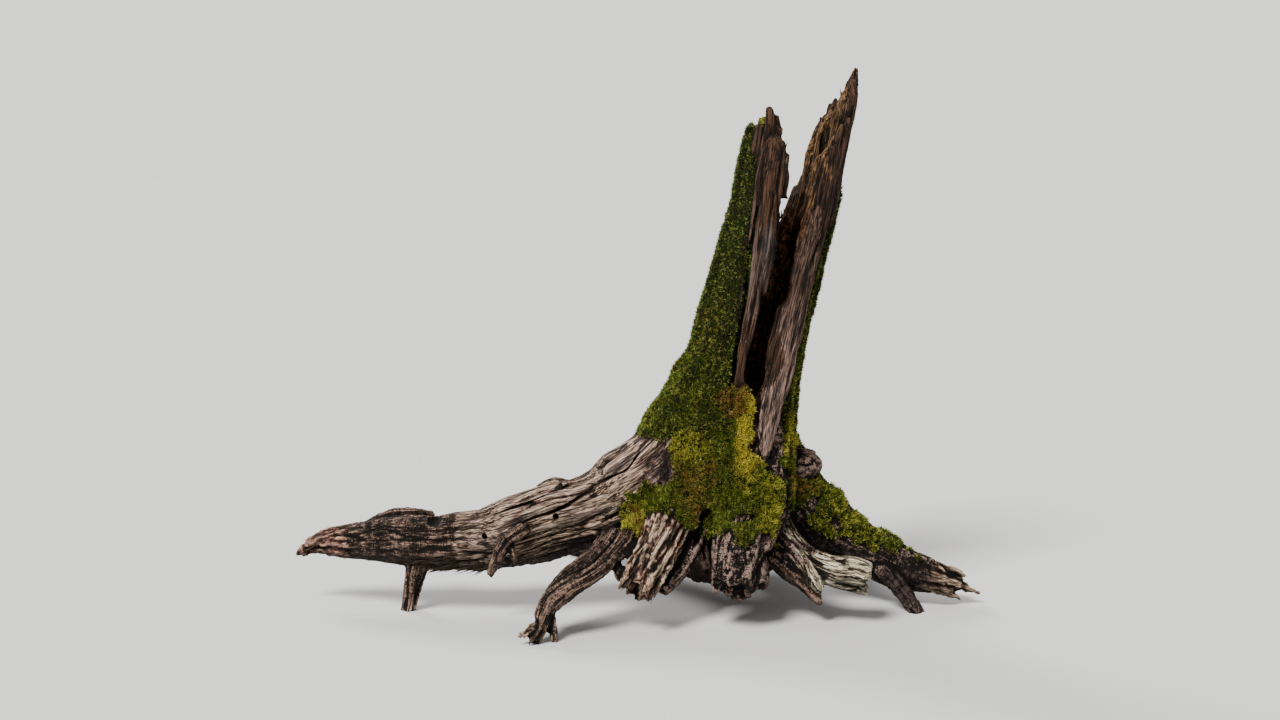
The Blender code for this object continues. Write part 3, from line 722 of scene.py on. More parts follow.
def plain_mesh(obj: bpy.types.Object, name: str) -> bpy.types.Object:
    """A new object that holds the object's evaluated mesh, and takes its place."""
    graph = bpy.context.evaluated_depsgraph_get()
    mesh = bpy.data.meshes.new_from_object(obj.evaluated_get(graph), depsgraph=graph)
    mesh.name = name
    bpy.data.objects.remove(obj)
    return new_object(name, mesh)


def lofted_object(name: str, solids: list[list[list[Vector]]]) -> bpy.types.Object:
    """An object of closed solids, each given by its rings of equally many points."""
    bm = bmesh.new()
    for rings in solids:
        layers = [[bm.verts.new(point) for point in ring] for ring in rings]
        faces = []
        for low, high in zip(layers, layers[1:]):
            for i in range(len(low)):
                faces.append(bm.faces.new((low[i - 1], low[i], high[i], high[i - 1])))
        faces.append(bm.faces.new(layers[0]))
        faces.append(bm.faces.new(layers[-1]))
        bmesh.ops.recalc_face_normals(bm, faces=faces)
    mesh = bpy.data.meshes.new(name)
    bm.to_mesh(mesh)
    bm.free()
    return new_object(name, mesh)


def smoothstep(low: float, high: float, values: np.ndarray) -> np.ndarray:
    """0 below low, 1 above high, and an S-curve between them."""
    share = np.clip((values - low) / (high - low), 0.0, 1.0)
    return share * share * (3 - 2 * share)


def falloff(patches: tuple[Patch, ...], points: np.ndarray) -> np.ndarray:
    """How strongly the patches act on each point: full round a centre, none well past the reach."""
    total = np.zeros(len(points))
    for patch in patches:
        away = (points - np.array(patch.centre)) / np.array(patch.reach)
        share = np.clip(PATCH_CORE - PATCH_FADE * np.einsum("ij,ij->i", away, away), 0.0, 1.0)
        total = np.maximum(total, share * patch.strength)
    return total


def clouds(points: np.ndarray, scale: float, seed: float) -> np.ndarray:
    """Cloudy noise from -1 to 1 at each point."""
    shift = Vector((seed, -seed, 2 * seed))
    return np.array([noise.noise(Vector(point) * scale + shift) for point in points.tolist()])


def warped(points: np.ndarray) -> np.ndarray:
    """The points pushed about by noise, so that a patch gets a natural edge."""
    moved = []
    for point in points.tolist():
        end = place = Vector(point)
        for reach, scale in WARPS:
            end = end + reach * noise.noise_vector(place * scale)
        moved.append(end)
    return np.array(moved)


class Wire:
    """What comes out of a node. A sum on the number that it carries adds a node."""

    def __init__(self, graph: "Graph", socket: bpy.types.NodeSocket) -> None:
        """Follows a socket of a node in the graph."""
        self.graph = graph
        self.socket = socket

    def __add__(self, other: object) -> "Wire":
        """The sum."""
        return self.graph.math("ADD", self, other)

    def __sub__(self, other: object) -> "Wire":
        """The difference."""
        return self.graph.math("SUBTRACT", self, other)

    def __mul__(self, other: object) -> "Wire":
        """The product."""
        return self.graph.math("MULTIPLY", self, other)

    def __truediv__(self, other: object) -> "Wire":
        """The quotient."""
        return self.graph.math("DIVIDE", self, other)

    def __abs__(self) -> "Wire":
        """The number without its sign."""
        return self.graph.math("ABSOLUTE", self)

    def beside(self, name: str) -> "Wire":
        """Another output of the same node."""
        return Wire(self.graph, self.socket.node.outputs[name])


class Graph:
    """Adds nodes to a shader or geometry tree. An input takes a constant or a wire."""

    def __init__(self, tree: bpy.types.NodeTree) -> None:
        """Starts on a tree."""
        self.tree = tree

    def add(self, kind: str, inputs: dict | None = None, output: int | str = 0, **settings: object) -> Wire:
        """What comes out of a new node.

        Args:
            kind: Blender's name for the type of node.
            inputs: what goes into each input, by the input's name or number.
            output: the name or number of the output.
            settings: the node's own properties.

        Returns:
            The wire from that output.
        """
        node = self.tree.nodes.new(kind)
        for name, value in settings.items():
            setattr(node, name, value)
        for key, value in (inputs or {}).items():
            self.put(value, node.inputs[key])
        return Wire(self, node.outputs[output])

    def put(self, value: object, socket: bpy.types.NodeSocket) -> None:
        """Gives a constant or a wire to an input."""
        if isinstance(value, Wire):
            self.tree.links.new(value.socket, socket)
        else:
            socket.default_value = value

    def math(self, operation: str, *values: object) -> Wire:
        """The result of a sum on numbers."""
        return self.add("ShaderNodeMath", dict(enumerate(values)), operation=operation)

    def larger(self, first: object, second: object) -> Wire:
        """The larger of two numbers."""
        return self.math("MAXIMUM", first, second)

    def vector(self, operation: str, *values: object) -> Wire:
        """The result of a sum on vectors."""
        return self.add("ShaderNodeVectorMath", dict(enumerate(values)), operation=operation)

    def scaled(self, vector: object, factor: object) -> Wire:
        """A vector times a number."""
        return self.add("ShaderNodeVectorMath", {"Vector": vector, "Scale": factor}, operation="SCALE")

    def drawn_out(self, grain: Wire, share: float, across: float = 1.0) -> Wire:
        """A place in the grain, for a pattern that is drawn out along it the smaller the share is."""
        return self.vector("MULTIPLY", grain, (across, across, share))

    def axis(self, vector: Wire, number: int) -> Wire:
        """One number of a vector."""
        return self.add("ShaderNodeSeparateXYZ", {0: vector}, number)

    def noise(self, place: Wire, scale: float, detail: float = 2.0, rough: float = 0.5) -> Wire:
        """Cloudy noise from 0 to 1, about a half."""
        inputs = {"Vector": place, "Scale": scale, "Detail": detail, "Roughness": rough}
        return self.add("ShaderNodeTexNoise", inputs)

    def cells(self, place: Wire, scale: float) -> Wire:
        """Distance to the edges of a cell pattern."""
        inputs = {"Vector": place, "Scale": scale}
        return self.add("ShaderNodeTexVoronoi", inputs, "Distance", feature="DISTANCE_TO_EDGE")

    def step(self, value: Wire, low: float, high: float, start: float = 0.0, end: float = 1.0) -> Wire:
        """Start up to low, end from high on, and an S-curve between them."""
        inputs = dict(enumerate((value, low, high, start, end)))
        return self.add("ShaderNodeMapRange", inputs, interpolation_type="SMOOTHSTEP")

    def torn_strands(self, grain: Wire, place: Wire) -> Wire:
        """A place in the grain of torn wood, whose long strands waver."""
        inputs = {"Vector": place, "Scale": 30.0, "Detail": 2.0}
        colours = self.add("ShaderNodeTexNoise", inputs, "Color")
        waver = self.scaled(self.vector("SUBTRACT", colours, (0.5, 0.5, 0.5)), 0.024)
        return self.drawn_out(self.vector("ADD", grain, waver), 0.08)


class Shader(Graph):
    """The node tree of a new material, round its one surface shader."""

    def __init__(self, name: str, roughness: float, specular: float) -> None:
        """Starts a material with that even roughness and specular level."""
        self.material = bpy.data.materials.new(name)
        self.material.use_nodes = True
        super().__init__(self.material.node_tree)
        self.surface = self.tree.nodes["Principled BSDF"]
        self.surface.inputs["Roughness"].default_value = roughness
        self.surface.inputs["Specular IOR Level"].default_value = specular
        self.surface.inputs["Metallic"].default_value = 0.0
        self.place = self.add("ShaderNodeTexCoord", output="Object")

    def attribute(self, name: str, output: str = "Fac") -> Wire:
        """A number that the mesh carries at each point, or a vector with that output."""
        return self.add("ShaderNodeAttribute", output=output, attribute_name=name)

    def mixed(self, share: Wire, first: Wire | tuple, second: Wire | tuple) -> Wire:
        """Two colours mixed by a share, from the first to the second."""
        first, second = (value if isinstance(value, Wire) else (*value, 1.0) for value in (first, second))
        return self.add("ShaderNodeMix", {0: share, 6: first, 7: second}, 2, data_type="RGBA")

    def finish(self, colour: Wire, height: Wire | None = None, depth: float = 0.0) -> bpy.types.Material:
        """Joins the colour and the relief to the surface, and gives the material."""
        self.put(colour, self.surface.inputs["Base Color"])
        if height is not None:
            bump = self.add("ShaderNodeBump", {"Height": height, "Distance": depth, "Strength": 1.0})
            self.put(bump, self.surface.inputs["Normal"])
        return self.material


class Growth(Graph):
    """A geometry node tree that turns a mesh into what grows on it, with named inputs."""

    def __init__(self, name: str, numbers: dict[str, float], seed: int) -> None:
        """Starts a tree with an input for each named number and one for the seed.

        Args:
            name: the tree's name.
            numbers: each named input with its value.
            seed: the fixed seed for anything random.
        """
        super().__init__(bpy.data.node_groups.new(name, "GeometryNodeTree"))
        face = self.tree.interface
        for way in ("OUTPUT", "INPUT"):
            face.new_socket("Geometry", in_out=way, socket_type="NodeSocketGeometry")
        self.values = {}
        for key, value in numbers.items():
            socket = face.new_socket(key, in_out="INPUT", socket_type="NodeSocketFloat")
            self.values[socket.identifier] = value
        socket = face.new_socket("Seed", in_out="INPUT", socket_type="NodeSocketInt")
        self.values[socket.identifier] = seed
        self.start = self.tree.nodes.new("NodeGroupInput")
        self.end = self.tree.nodes.new("NodeGroupOutput")
        self.place = self.add("GeometryNodeInputPosition")

    def given(self, name: str) -> Wire:
        """One of the tree's named inputs."""
        return Wire(self, self.start.outputs[name])

    def attribute(self, name: str, kind: str = "FLOAT") -> Wire:
        """What the mesh carries under that name."""
        return self.add("GeometryNodeInputNamedAttribute", {"Name": name}, "Attribute", data_type=kind)

    def stored(self, geometry: Wire, name: str, value: Wire) -> Wire:
        """The geometry with that number kept at each of its points."""
        inputs = {"Geometry": geometry, "Name": name, "Value": value}
        return self.add("GeometryNodeStoreNamedAttribute", inputs, data_type="FLOAT", domain="POINT")

    def random(self, low: float, high: float, key: int) -> Wire:
        """An even random number for each point; key sets it apart from the tree's others."""
        node = self.tree.nodes.new("FunctionNodeRandomValue")
        node.data_type = "FLOAT"
        inputs = {"Min": low, "Max": high, "Seed": self.given("Seed") + float(key)}
        for socket in node.inputs:
            if socket.enabled and socket.name in inputs:
                self.put(inputs[socket.name], socket)
        return Wire(self, next(socket for socket in node.outputs if socket.enabled))

    def close(self, geometry: Wire, material: bpy.types.Material) -> None:
        """Ends the tree: instances made real, and the material set."""
        real = self.add("GeometryNodeRealizeInstances", {"Geometry": geometry})
        dressed = self.add("GeometryNodeSetMaterial", {"Geometry": real, "Material": material})
        self.put(dressed, self.end.inputs[0])

    def grow(self, carrier: bpy.types.Object, name: str) -> bpy.types.Object:
        """Runs the tree on the carrier, and gives the result as a plain mesh in its place."""
        modifier = carrier.modifiers.new(name, "NODES")
        modifier.node_group = self.tree
        for identifier, value in self.values.items():
            modifier[identifier] = value
        return plain_mesh(carrier, name)


class LoftedLimb:
    """The skin of one limb: its rings, from its root to its broken or pointed end."""

    BULGES = 9
    RIDGE_CHANGES = 3.5
    NOISE_APART = (7.3, 3.1)
    RIM_SPREAD = 0.86        # shares of the limb's radius
    LIP_SPREAD = 0.62
    PIT_SPREAD = 0.34
    PIT_DEPTH = 0.35
    POINT_SPREAD = 0.35
    SHORT_SPLINTER = 0.25
    MEAN_SPLINTER = 0.60
    SPLINTER_SPREAD = 1.6
    SPLINTER_WIDTH = 1.6
    LIP_HEIGHT = 0.6         # of the splinters

    def __init__(self, limb: Limb, number: int) -> None:
        """Lays the limb's path.

        Args:
            limb: the limb.
            number: its place in the list, which sets its noise apart.
        """
        self.limb = limb
        self.path = smooth_path(limb.stations, limb.step)
        self.frames = frames_along(self.path)
        self.place = Vector((number * self.NOISE_APART[0], number * self.NOISE_APART[1], 0))

    def relief(self, turn: float, along: float) -> float:
        """How far the surface stands out there, as a share of the limb's radius."""
        ring = Vector((math.cos(turn), math.sin(turn), 0))
        slow = noise.noise(ring + Vector((0, 0, along * self.BULGES)) + self.place)
        changes = Vector((0, 0, along * self.RIDGE_CHANGES))
        ridge = noise.noise(ring * self.limb.ridges + changes - self.place)
        return self.limb.swell * slow + self.limb.grain * (0.5 - 2 * abs(ridge))

    def rings(self) -> list[list[Vector]]:
        """All rings of the limb."""
        rings = []
        along = 0.0
        for i, (point, (_, side, other)) in enumerate(zip(self.path, self.frames)):
            if i:
                along += (point.xyz - self.path[i - 1].xyz).length
            ring = []
            for k in range(self.limb.sides):
                turn = 2 * math.pi * k / self.limb.sides
                reach = point.w * (1 + self.relief(turn, along))
                across = math.cos(turn) * side + self.limb.flat * math.sin(turn) * other
                ring.append(point.xyz + reach * across)
            rings.append(ring)
        if self.limb.end == "torn":
            return rings + self.torn_end(rings[-1])
        tip = self.path[-1].xyz + self.frames[-1][0] * self.path[-1].w
        return [*rings, [tip.lerp(corner, self.POINT_SPREAD) for corner in rings[-1]]]

    def torn_end(self, last_ring: list[Vector]) -> list[list[Vector]]:
        """Rings of a broken end: a ragged rim of splinters round a pit of rotted wood."""
        centre = self.path[-1].xyz
        radius = self.path[-1].w
        tangent = self.frames[-1][0]
        rim, lip, pit = [], [], []
        for corner in last_ring:
            spoke = corner - centre
            ragged = noise.noise(spoke * (self.SPLINTER_WIDTH / radius) + self.place)
            length = max(self.SHORT_SPLINTER, self.MEAN_SPLINTER + self.SPLINTER_SPREAD * ragged)
            splinter = self.limb.fray * radius * length
            rim.append(centre + spoke * self.RIM_SPREAD + tangent * splinter)
            lip.append(centre + spoke * self.LIP_SPREAD + tangent * splinter * self.LIP_HEIGHT)
            pit.append(centre + spoke * self.PIT_SPREAD - tangent * radius * self.PIT_DEPTH)
        return [rim, lip, pit]


class TrunkWall:
    """The ring of split strips that walls the hollow trunk, and the sound wood below it."""

    SEED = 11
    TOP_WANDER = 0.022
    THICKNESS = (0.8, 1.25)          # shares of the wall
    PROUD = (-0.004, 0.005)          # how far a strip may stand in or out
    SPLINTER_SHARES = (0.5, 1.3)
    SLANT = 0.5
    WAVE = 0.006
    WAVES = 7
    TIP_WALL = 0.3                   # shares of a strip's thickness and width at its tip
    TIP_WIDTH = 0.35
    OUTER_ROUNDING = 0.006
    INNER_ROUNDING = 0.004
    CORE_TAPER = 0.9

    def offset(self, angle: float, height: float) -> float:
        """How far the wall stands in or out of its girth at that angle and height."""
        total = 0.0
        for middle, low, high, offset in STAVE_OFFSETS:
            if low < height < high:
                total += offset * math.exp(-(((angle - middle) / OFFSET_SPREAD) ** 2))
        return total

    def strip(self, angle: float, top: float, rng: random.Random) -> list[list[Vector]]:
        """The rings of one strip, from inside the base to its splinter.

        Args:
            angle: the strip's place round the trunk, in degrees from the front.
            top: the height of its broken end.
            rng: the wall's random numbers.

        Returns:
            The rings, lowest first.
        """
        half_width = STAVE_OVERLAP * 180 / STAVE_COUNT
        thickness = rng.uniform(*self.THICKNESS)
        proud = rng.uniform(*self.PROUD)
        place = Vector((angle, 0, 0))
        splinter = min(SPLINTER_LENGTH * rng.uniform(*self.SPLINTER_SHARES), top - STAVE_FOOT - STAVE_STEP)
        slant = rng.uniform(-self.SLANT, self.SLANT)
        steps = round((top - STAVE_FOOT) / STAVE_STEP)
        rings = []
        for i in range(steps + 1):
            height = STAVE_FOOT + (top - STAVE_FOOT) * i / steps
            x, y, _, girth = axis_at(height)
            left = min(1.0, (top - height) / splinter)
            rise = (height - STAVE_FOOT) / (CROWN_TOP - STAVE_FOOT)
            wall = WALL_AT_FOOT + (WALL_AT_CROWN - WALL_AT_FOOT) * rise
            wall *= thickness * (self.TIP_WALL + (1 - self.TIP_WALL) * left)
            wave = self.WAVE * noise.noise(place + Vector((0, 0, height * self.WAVES)))
            outer = girth + proud + self.offset(angle, height) + wave
            corner = outer - self.OUTER_ROUNDING * (2 - left)
            inner = outer - wall
            section = [(-1, corner), (-0.5, outer), (0.5, outer), (1, corner)]
            section += [(1, inner + self.INNER_ROUNDING), (0.5, inner)]
            section += [(-0.5, inner), (-1, inner + self.INNER_ROUNDING)]
            width = half_width * (self.TIP_WIDTH + (1 - self.TIP_WIDTH) * left)
            ring = []
            for share, reach in section:
                turn = math.radians(angle + share * width + slant * width * (1 - left))
                ring.append(Vector((x + reach * math.sin(turn), y - reach * math.cos(turn), height)))
            rings.append(ring)
        return rings

    def solids(self) -> list[list[list[Vector]]]:
        """The rings of the core and of every strip."""
        rows = [row for row in TRUNK_AXIS if row[2] < HOLLOW_FLOOR]
        x, y, _, radius = axis_at(HOLLOW_FLOOR)
        rows.append((x, y, HOLLOW_FLOOR, radius * self.CORE_TAPER))
        core = Limb("core", tuple(rows), swell=0.10, grain=0.06, fray=0.2)
        solids = [LoftedLimb(core, len(LIMBS)).rings()]
        rng = random.Random(self.SEED)
        for i in range(STAVE_COUNT):
            angle = -180 + 360 * (i + 0.5) / STAVE_COUNT
            top = blend(CROWN, angle)[1] + rng.uniform(-self.TOP_WANDER, self.TOP_WANDER)
            solids.append(self.strip(angle, top, rng))
        return solids


class GrainField:
    """Which limb each point of the wood belongs to, and where it lies along and across it."""

    CHUNK = 4000

    def __init__(self) -> None:
        """Collects the paths of the trunk and of every limb."""
        self.limbs = [Limb("trunk", TRUNK_AXIS), *LIMBS]
        rows, ends = [], []
        for number, limb in enumerate(self.limbs):
            path = smooth_path(limb.stations, limb.step)
            arc = 0.0
            for i, (point, (run, side, other)) in enumerate(zip(path, frames_along(path))):
                if i:
                    arc += (point.xyz - path[i - 1].xyz).length
                rows.append((point.xyz, run, side, other, point.w, arc, number))
            ends.append(arc)
        columns = map(np.array, zip(*rows))
        middles, self.runs, self.sides, self.others, radii, self.arcs, self.numbers = columns
        self.middles = middles.astype(np.float32)
        self.radii = radii.astype(np.float32)
        self.ends = np.array(ends)

    def nearest(self, points: np.ndarray) -> np.ndarray:
        """For each point, the path point whose ball of wood it is nearest to."""
        found = []
        middle_squares = (self.middles**2).sum(1)
        for start in range(0, len(points), self.CHUNK):
            some = points[start:start + self.CHUNK].astype(np.float32)
            squares = (some**2).sum(1)[:, None] + middle_squares[None] - 2 * some @ self.middles.T
            found.append(np.argmin(np.sqrt(np.maximum(squares, 0)) - self.radii[None], axis=1))
        return np.concatenate(found)


class StumpSurface:
    """What the wood's surface carries: grain, coats, breaks, rot and moss, for each of its points."""

    def __init__(self, mesh: bpy.types.Mesh, field: GrainField) -> None:
        """Reads the mesh, whose points are still placed from the trunk's foot.

        Args:
            mesh: the wood.
            field: the paths of its limbs.
        """
        self.mesh = mesh
        self.field = field
        self.points = np.zeros(len(mesh.vertices) * 3)
        mesh.vertices.foreach_get("co", self.points)
        self.points = self.points.reshape(-1, 3)
        self.normals = np.zeros(len(mesh.vertices) * 3)
        mesh.vertices.foreach_get("normal", self.normals)
        self.normals = self.normals.reshape(-1, 3)
        self.height = self.points[:, 2]
        self.down = -self.normals[:, 2]
        edges = np.zeros(len(mesh.edges) * 2, dtype=np.int64)
        mesh.edges.foreach_get("vertices", edges)
        self.one, self.other = edges.reshape(-1, 2).T
        self.degree = np.bincount(edges, minlength=len(mesh.vertices)).clip(1)
        self.near = field.nearest(self.points)
        self.limb = field.numbers[self.near]
        away = self.points - field.middles[self.near]
        self.across = np.einsum("ij,ij->i", away, field.sides[self.near])
        self.deep = np.einsum("ij,ij->i", away, field.others[self.near])
        self.along = field.arcs[self.near] + np.einsum("ij,ij->i", away, field.runs[self.near])

    def where(self, test: Callable[[Limb], bool]) -> np.ndarray:
        """For each point, what the test says of its limb."""
        return np.array([test(limb) for limb in self.field.limbs])[self.limb]

    def spread(self, values: np.ndarray, rounds: int) -> np.ndarray:
        """Values evened out along the surface, over that many edges."""
        for _ in range(rounds):
            total = np.bincount(self.one, values[self.other], len(values))
            total += np.bincount(self.other, values[self.one], len(values))
            values = 0.5 * values + 0.5 * total / self.degree
        return values

    def store(self, name: str, values: np.ndarray, rounds: int = 0) -> None:
        """Keeps a number or a vector for each point in the mesh, evened out over the rounds."""
        values = self.spread(values, rounds)
        kind, key = ("FLOAT", "value") if values.ndim == 1 else ("FLOAT_VECTOR", "vector")
        layer = self.mesh.attributes.get(name) or self.mesh.attributes.new(name, kind, "POINT")
        layer.data.foreach_set(key, values.astype(np.float32).ravel())

    def store_patches(self, name: str, patches: tuple[Patch, ...]) -> None:
        """Keeps how strongly the patches act on each point."""
        self.store(name, np.clip(falloff(patches, self.warped), 0, 1), 2)

    def store_grain(self) -> None:
        """Keeps each point's place across and along its limb, and the way that the limb runs."""
        self.store("grain", np.stack([self.across + LIMBS_APART * self.limb, self.deep, self.along], axis=1))
        self.store("run", self.field.runs[self.near])

    def axis_columns(self) -> tuple[np.ndarray, np.ndarray, np.ndarray]:
        """The trunk's girth, and each point's distance from its axis and angle round it."""
        table = np.array(TRUNK_AXIS)
        x, y, girth = (np.interp(self.height, table[:, 2], table[:, i]) for i in (0, 1, 3))
        reach = np.hypot(self.points[:, 0] - x, self.points[:, 1] - y)
        angle = np.degrees(np.arctan2(self.points[:, 0] - x, y - self.points[:, 1]))
        return girth, reach, angle

    def store_coats(self) -> None:
        """Keeps the share of each coat at each point. The underside of bleached wood is bark."""
        coats = {}
        for coat, names in COATS.items():
            coats[coat] = self.where(lambda limb: limb.name in names).astype(float)
        for coat, patches in COAT_PATCHES.items():
            share = smoothstep(0.2, 0.8, falloff(patches, self.warped))
            for other in coats:
                coats[other] = coats[other] * (1 - share)
            if coat in coats:
                coats[coat] = coats[coat] + share
        under = smoothstep(0.30, 0.85, self.down)
        coats[Coat.BARK] = np.maximum(coats[Coat.BARK], under * coats[Coat.BLEACHED])
        coats[Coat.BLEACHED] = coats[Coat.BLEACHED] * (1 - under)
        for coat, values in coats.items():
            self.store(coat.value, values, COAT_ROUNDS)

    def seams(self) -> np.ndarray:
        """Where two limbs of bark or torn wood grow into each other, for a groove and painted shade along it.
        """
        names = [name for coat in SEAMED for name in COATS[coat]]
        rough = self.where(lambda limb: limb.name in names)
        meets = self.limb[self.one] != self.limb[self.other]
        meets &= rough[self.one] & rough[self.other]
        seam = np.zeros(len(self.points))
        seam[self.one[meets]] = 1.0
        seam[self.other[meets]] = 1.0
        return np.clip(SEAM_GAIN * self.spread(seam, 3), 0, 1)

    def breaks(self) -> np.ndarray:
        """Where the wood is freshly torn: at the torn ends of limbs."""
        torn = self.where(lambda limb: limb.end == "torn" and limb.name not in SMOOTH_ENDS)
        torn &= self.limb > 0
        past = (self.along - self.field.ends[self.limb]) / self.field.radii[self.near]
        return np.where(torn, smoothstep(-0.5, 0.2, past), 0.0)

    def store_looks(self) -> None:
        """Keeps every coat, the breaks, the rot, the rim of the crown and the moss."""
        self.warped = warped(self.points)
        girth, reach, angle = self.axis_columns()
        wall = np.interp(self.height, (STAVE_FOOT, CROWN_TOP), (WALL_AT_FOOT, WALL_AT_CROWN))
        trunk = smoothstep(HOLLOW_FLOOR - 0.01, HOLLOW_FLOOR + 0.03, self.height)
        rot = trunk * smoothstep(0.35, 0.8, (girth - reach) / wall)
        rot = np.maximum(rot, falloff(ROTTEN, self.warped))
        crown = np.interp(angle, *zip(*CROWN))
        rim = RIM_SHARE * smoothstep(-0.06, -0.01, self.height - crown)
        below = self.where(lambda limb: limb.name == "long_root") * smoothstep(-0.1, 0.5, self.down)
        painted_shade = np.clip(falloff(PAINTED_SHADE, self.points), 0, 1)
        self.store_coats()
        self.store("torn", self.breaks(), 2)
        self.store("rot", rot, 2)
        self.store("rim", rim * (self.height > RIM_FOOT))
        self.store("seam", self.seams())
        self.store("fringe", below * np.clip(falloff(FRINGE, self.points), 0, 1))
        # Painted shade: darker on faces that look down, and in the patches under the stump and between its
        # roots
        self.store("painted_shade", np.maximum(smoothstep(-0.15, 0.75, self.down), painted_shade), 4)
        self.store_moss(rot, angle, reach - girth)

    def flank_moss(self, angle: np.ndarray, ragged: np.ndarray) -> np.ndarray:
        """The share of moss on the two flanks of the trunk.

        Args:
            angle: each point's angle round the trunk.
            ragged: noise that frays the edge.

        Returns:
            The share at each point.
        """
        wander = clouds(self.points, 11, 7.0)
        flank = np.zeros(len(self.points))
        for table in (LEFT_FLANK, RIGHT_FLANK):
            heights, fronts, backs = zip(*table)
            front = np.interp(self.height, heights, fronts)
            back = np.interp(self.height, heights, backs) + BACK_WANDER * wander
            low, high = np.minimum(front, back), np.maximum(front, back)
            inside = np.minimum(angle - low, high - angle) / FLANK_SOFTNESS
            inside = np.minimum(inside, (heights[-1] - self.height) / 0.02)
            inside = np.minimum(inside, (self.height - heights[0] - FOOT_WANDER * wander) / 0.05)
            flank = np.maximum(flank, smoothstep(-0.5, 0.8, inside + ragged))
        return flank

    def store_moss(self, rot: np.ndarray, angle: np.ndarray, proud: np.ndarray) -> None:
        """Keeps where each bed of moss grows, and how yellow or dry it is.

        Args:
            rot: how rotten each point is.
            angle: its angle round the trunk.
            proud: how far it lies out of the trunk's girth.
        """
        ragged = 0.6 * clouds(self.points, 16, 3.0) + 0.5 * clouds(self.points, 60, 5.0)
        bare = falloff(BARE, self.warped)
        flank = self.flank_moss(angle, ragged) * smoothstep(-0.045, -0.02, proud)
        base = falloff(BASE_MOSS, self.warped)
        base = (base > 0) * smoothstep(0.3, 0.7, base - bare + 0.45 * ragged)
        base *= smoothstep(-0.8, -0.3, -self.down)
        roots = falloff(ROOT_MOSS, self.warped)
        roots = (roots > 0) * smoothstep(0.3, 0.75, roots - bare + 0.6 * ragged)
        roots *= smoothstep(-0.55, 0.05, -self.down)
        kept = 1 - smoothstep(0.2, 0.6, rot)
        kept *= self.where(lambda limb: limb.name not in MOSSLESS)
        base *= kept * (1 - flank)
        flank *= kept
        roots *= kept * (1 - np.maximum(base, flank))
        high = smoothstep(-0.02, 0.02, self.height - FLANK_SPLIT + 0.05 * ragged)
        self.store("moss_flank_low", flank * (1 - high), 1)
        self.store("moss_flank_high", flank * high, 1)
        self.store("moss_base", base, 1)
        self.store("moss_roots", roots, 1)
        self.store("moss", np.clip(flank + base + roots, 0, 1), 2)
        self.store_patches("yellow", YELLOW)
        self.store_patches("dried", DRIED)

    def store_hollows(self) -> None:
        """Keeps how deep each point lies in the relief round it: over a half in a hollow."""
        depth = 0.0
        for rounds, full in ((2, 0.0012), (8, 0.004)):
            smooth = np.stack([self.spread(self.points[:, i], rounds) for i in range(3)], axis=1)
            depth = depth + np.einsum("ij,ij->i", smooth - self.points, self.normals) / full
        self.store("cavity", np.clip(0.5 + 0.25 * depth, 0, 1), 1)


